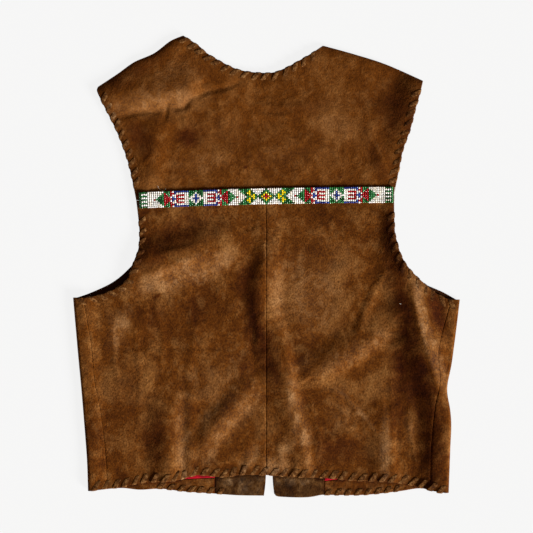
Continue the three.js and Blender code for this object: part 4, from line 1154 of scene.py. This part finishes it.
def lace(edge, height_at, draws, nap_share=1.0):
    """One row of separate turns of thong, each over the face and round the edge."""
    def varied(key):
        return draws.uniform(*LACE_VARIETY[key])

    points, faces = [], []
    for k in range(int(length_of(edge["line"]) / LACE_PITCH)):
        place = (k + 0.5) * LACE_PITCH + varied("place")
        point, tangent, normal = edge_frame(edge["line"], place)
        reach = edge["reach"] * varied("reach")
        slant = edge["slant"] * varied("slant")
        width = LACE_WIDTH * varied("width")
        inwards = normal * edge["cloth"]
        path = np.array([
            np.append(point + inwards * away * reach + tangent * 2 * lead * slant, rise)
            for away, lead, rise in STITCH
        ])
        over = path[:STEPS_ON_CLOTH, :2]
        ground = height_at(np.vstack([over, point + inwards * EDGE_INSET]))
        path[:, 2] += np.pad(ground[:-1], (0, len(path) - STEPS_ON_CLOTH),
                             constant_values=ground[-1])
        first = len(points)
        tangents = np.gradient(path, axis=0)
        tangents /= np.linalg.norm(tangents, axis=1)[:, None]
        wide = np.append(tangent, 0.0)
        thick = np.cross(tangents, wide)
        thick /= np.linalg.norm(thick, axis=1)[:, None]
        for ring, centre in enumerate(path):
            taper = THONG_TAPER if ring < TAPERED_RINGS else 1.0
            for corner in range(THONG_SECTION):
                angle = 2 * math.pi * (corner + 0.5) / THONG_SECTION
                across = math.cos(angle)
                spread = abs(across) ** THONG_SQUARENESS * math.copysign(1, across)
                points.append(centre + wide * spread * width * taper / 2
                              + thick[ring] * math.sin(angle) * LACE_THICKNESS / 2)
        faces += stitch_faces(first, len(path))
    piece = mesh_object(edge["node"] + "_thong", points, faces, THONG, smooth_angle=70)
    # The thong takes the tone kept beneath it, painted shade and painted highlights included, by
    # the given share
    store(piece, "nap", nap_and_painted_shading_tone(np.array(points)[:, :2]) * nap_share)
    replace(piece, edge["node"])


def cloth_height(points):
    """Height of the back's face where the lacing has drawn it down."""
    pull, _ = lacing_effects(points)
    return back_top(points) - pull


def facing_height(points):
    return np.full(len(points), FACING_TOP)


def lacings():
    draws = np.random.default_rng(LACE_SEED)
    for edge in LACED_EDGES:
        lace(edge, cloth_height, draws)
    for half in HALVES:
        hem = hem_between(half.front_hem, *FRONT_LACE_ENDS[half.name])
        edge = laced("lace_front_" + half.name, hem, 1, 0.8, 8.6)
        lace(edge, facing_height, draws, nap_share=0.0)


# Bead band

def bead_template():
    """Points of a bead of one by one, and its faces."""
    points, faces = [], []
    for lengthwise, radius in BEAD_PROFILE:
        for k in range(BEAD_SIDES):
            angle = 2 * math.pi * k / BEAD_SIDES
            points.append((radius * math.cos(angle) / 2, lengthwise, radius * math.sin(angle) / 2))
    rings = len(BEAD_PROFILE)
    for ring in range(rings):
        first, following = ring * BEAD_SIDES, (ring + 1) % rings * BEAD_SIDES
        for k in range(BEAD_SIDES):
            after = (k + 1) % BEAD_SIDES
            faces.append((first + k, following + k, following + after, first + after))
    return np.array(points), np.array(faces)


def bead_band():
    draws = np.random.default_rng(BEAD_SEED)
    template, template_faces = bead_template()
    line = spline(BAND_LINE)
    columns = 2 * BEAD_COLUMNS_EACH_SIDE + 1
    pitch = length_of(line) / columns
    scale = np.array([BEAD_DIAMETER, BEAD_LENGTH, BEAD_DIAMETER])

    def stray(key):
        return draws.normal(0, BEAD_VARIETY[key])

    points, faces, colours = [], [], []
    for column in range(columns):
        point, tangent, normal = edge_frame(line, (column + 0.5) * pitch)
        entry = CHART[abs(column - BEAD_COLUMNS_EACH_SIDE)]
        batch = draws.integers(0, BEAD_BATCHES)
        sway = stray("column")
        for row in range(-BEAD_ROWS_EACH_SIDE, BEAD_ROWS_EACH_SIDE + 1):
            shades = BEAD_COLOURS[entry[abs(row)]]
            own = batch if draws.random() < SAME_BATCH else draws.integers(0, BEAD_BATCHES)
            tint = np.array(linear(shades[own % len(shades)])[:3]) * draws.uniform(*BEAD_TINT)
            centre = point + normal * (row * BEAD_LENGTH + sway + stray("row"))
            centre = centre + tangent * stray("along")
            height = back_top(centre[None])[0] + BEAD_LIFT + BEAD_DIAMETER / 2
            turn = stray("turn")
            across = tangent * math.cos(turn) + normal * math.sin(turn)
            up = normal * math.cos(turn) - tangent * math.sin(turn)
            local = template * (scale * draws.normal(1, BEAD_VARIETY["size"], 3))
            placed = np.empty_like(local)
            placed[:, :2] = centre + local[:, :1] * across + local[:, 1:2] * up
            placed[:, 2] = height + local[:, 2] + stray("height")
            faces.append(template_faces + len(points) * len(template))
            points.append(placed)
            colours.append(np.tile(np.append(tint, 1.0), (len(template), 1)))
    piece = mesh_object("bead_rows", np.vstack(points), np.vstack(faces).tolist(), GLASS, 80)
    layer = piece.data.attributes.new("bead_colour", "FLOAT_COLOR", "POINT")
    layer.data.foreach_set("color", np.vstack(colours).astype(np.float32).ravel())
    replace(piece, "bead_band")


# Loose threads

def loose_threads():
    points, faces = [], []
    for table, thickness in LOOSE_THREADS:
        line = spline(table, 8)
        path = np.column_stack([line, back_top(line) + thickness / 2 + THREAD_LIFT])
        first = len(points)
        for k, centre in enumerate(path):
            before, after = path[max(k - 1, 0)], path[min(k + 1, len(path) - 1)]
            ahead = (after - before) / np.linalg.norm(after - before)
            across = np.array([-ahead[1], ahead[0], 0.0])
            across /= np.linalg.norm(across)
            up = np.cross(ahead, across)
            for corner in range(THONG_SECTION):
                angle = 2 * math.pi * corner / THONG_SECTION
                points.append(centre + (across * math.cos(angle) + up * math.sin(angle))
                              * thickness / 2)
        faces += stitch_faces(first, len(path))
    piece = mesh_object("loose_threads", points, faces, THREAD, smooth_angle=80)
    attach(piece, "root")


# Stage, light and camera

def stage():
    floor_material = Shader("pale_floor").finish(
        Base_Color=(FLOOR_BASE, FLOOR_BASE, FLOOR_BASE, 1), Roughness=1.0,
        Specular_IOR_Level=0.0, Emission_Color=(1, 1, 1, 1), Emission_Strength=FLOOR_GLOW)
    bpy.ops.mesh.primitive_plane_add(size=FLOOR_SIZE, location=(0, 0, FLOOR_LEVEL))
    floor = bpy.context.object
    floor.name = "floor"
    floor.data.materials.append(floor_material)


def light():
    elevation, azimuth = math.radians(KEY_ELEVATION), math.radians(KEY_AZIMUTH)
    key = bpy.data.lights.new("key", "SUN")
    key.energy = EXPOSURE * KEY_SHARE * math.pi / math.sin(elevation)
    key.angle = math.radians(KEY_SOFTNESS)
    key_object = bpy.data.objects.new("key", key)
    key_object.rotation_euler = (0, math.pi / 2 - elevation, azimuth)
    bpy.context.collection.objects.link(key_object)
    world = bpy.data.worlds.new("studio")
    world.use_nodes = True
    fill_light = EXPOSURE * (1 - KEY_SHARE)
    world.node_tree.nodes["Background"].inputs["Color"].default_value = FILL_COLOUR
    world.node_tree.nodes["Background"].inputs["Strength"].default_value = fill_light
    bpy.context.scene.world = world
    bpy.context.scene.view_settings.view_transform = "Standard"


def camera():
    """Straight above, with the photograph's frame across its view."""
    data = bpy.data.cameras.new("photo")
    data.sensor_width = SENSOR_WIDTH
    frame_width = PHOTO_PIXELS * MM_PER_PIXEL * MM
    data.lens = SENSOR_WIDTH * (CAMERA_HEIGHT - BACK_LEVEL * MM) / frame_width
    view = bpy.data.objects.new("photo", data)
    view.location = (0, 0, CAMERA_HEIGHT)
    bpy.context.collection.objects.link(view)
    bpy.context.scene.camera = view


camera()
yoke()
for half in HALVES:
    lower_back(half)
for half in HALVES:
    front(half)
for half in HALVES:
    front_facing(half)
    hem_facing(half)
    lining(half)
lacings()
bead_band()
loose_threads()
stage()
light()
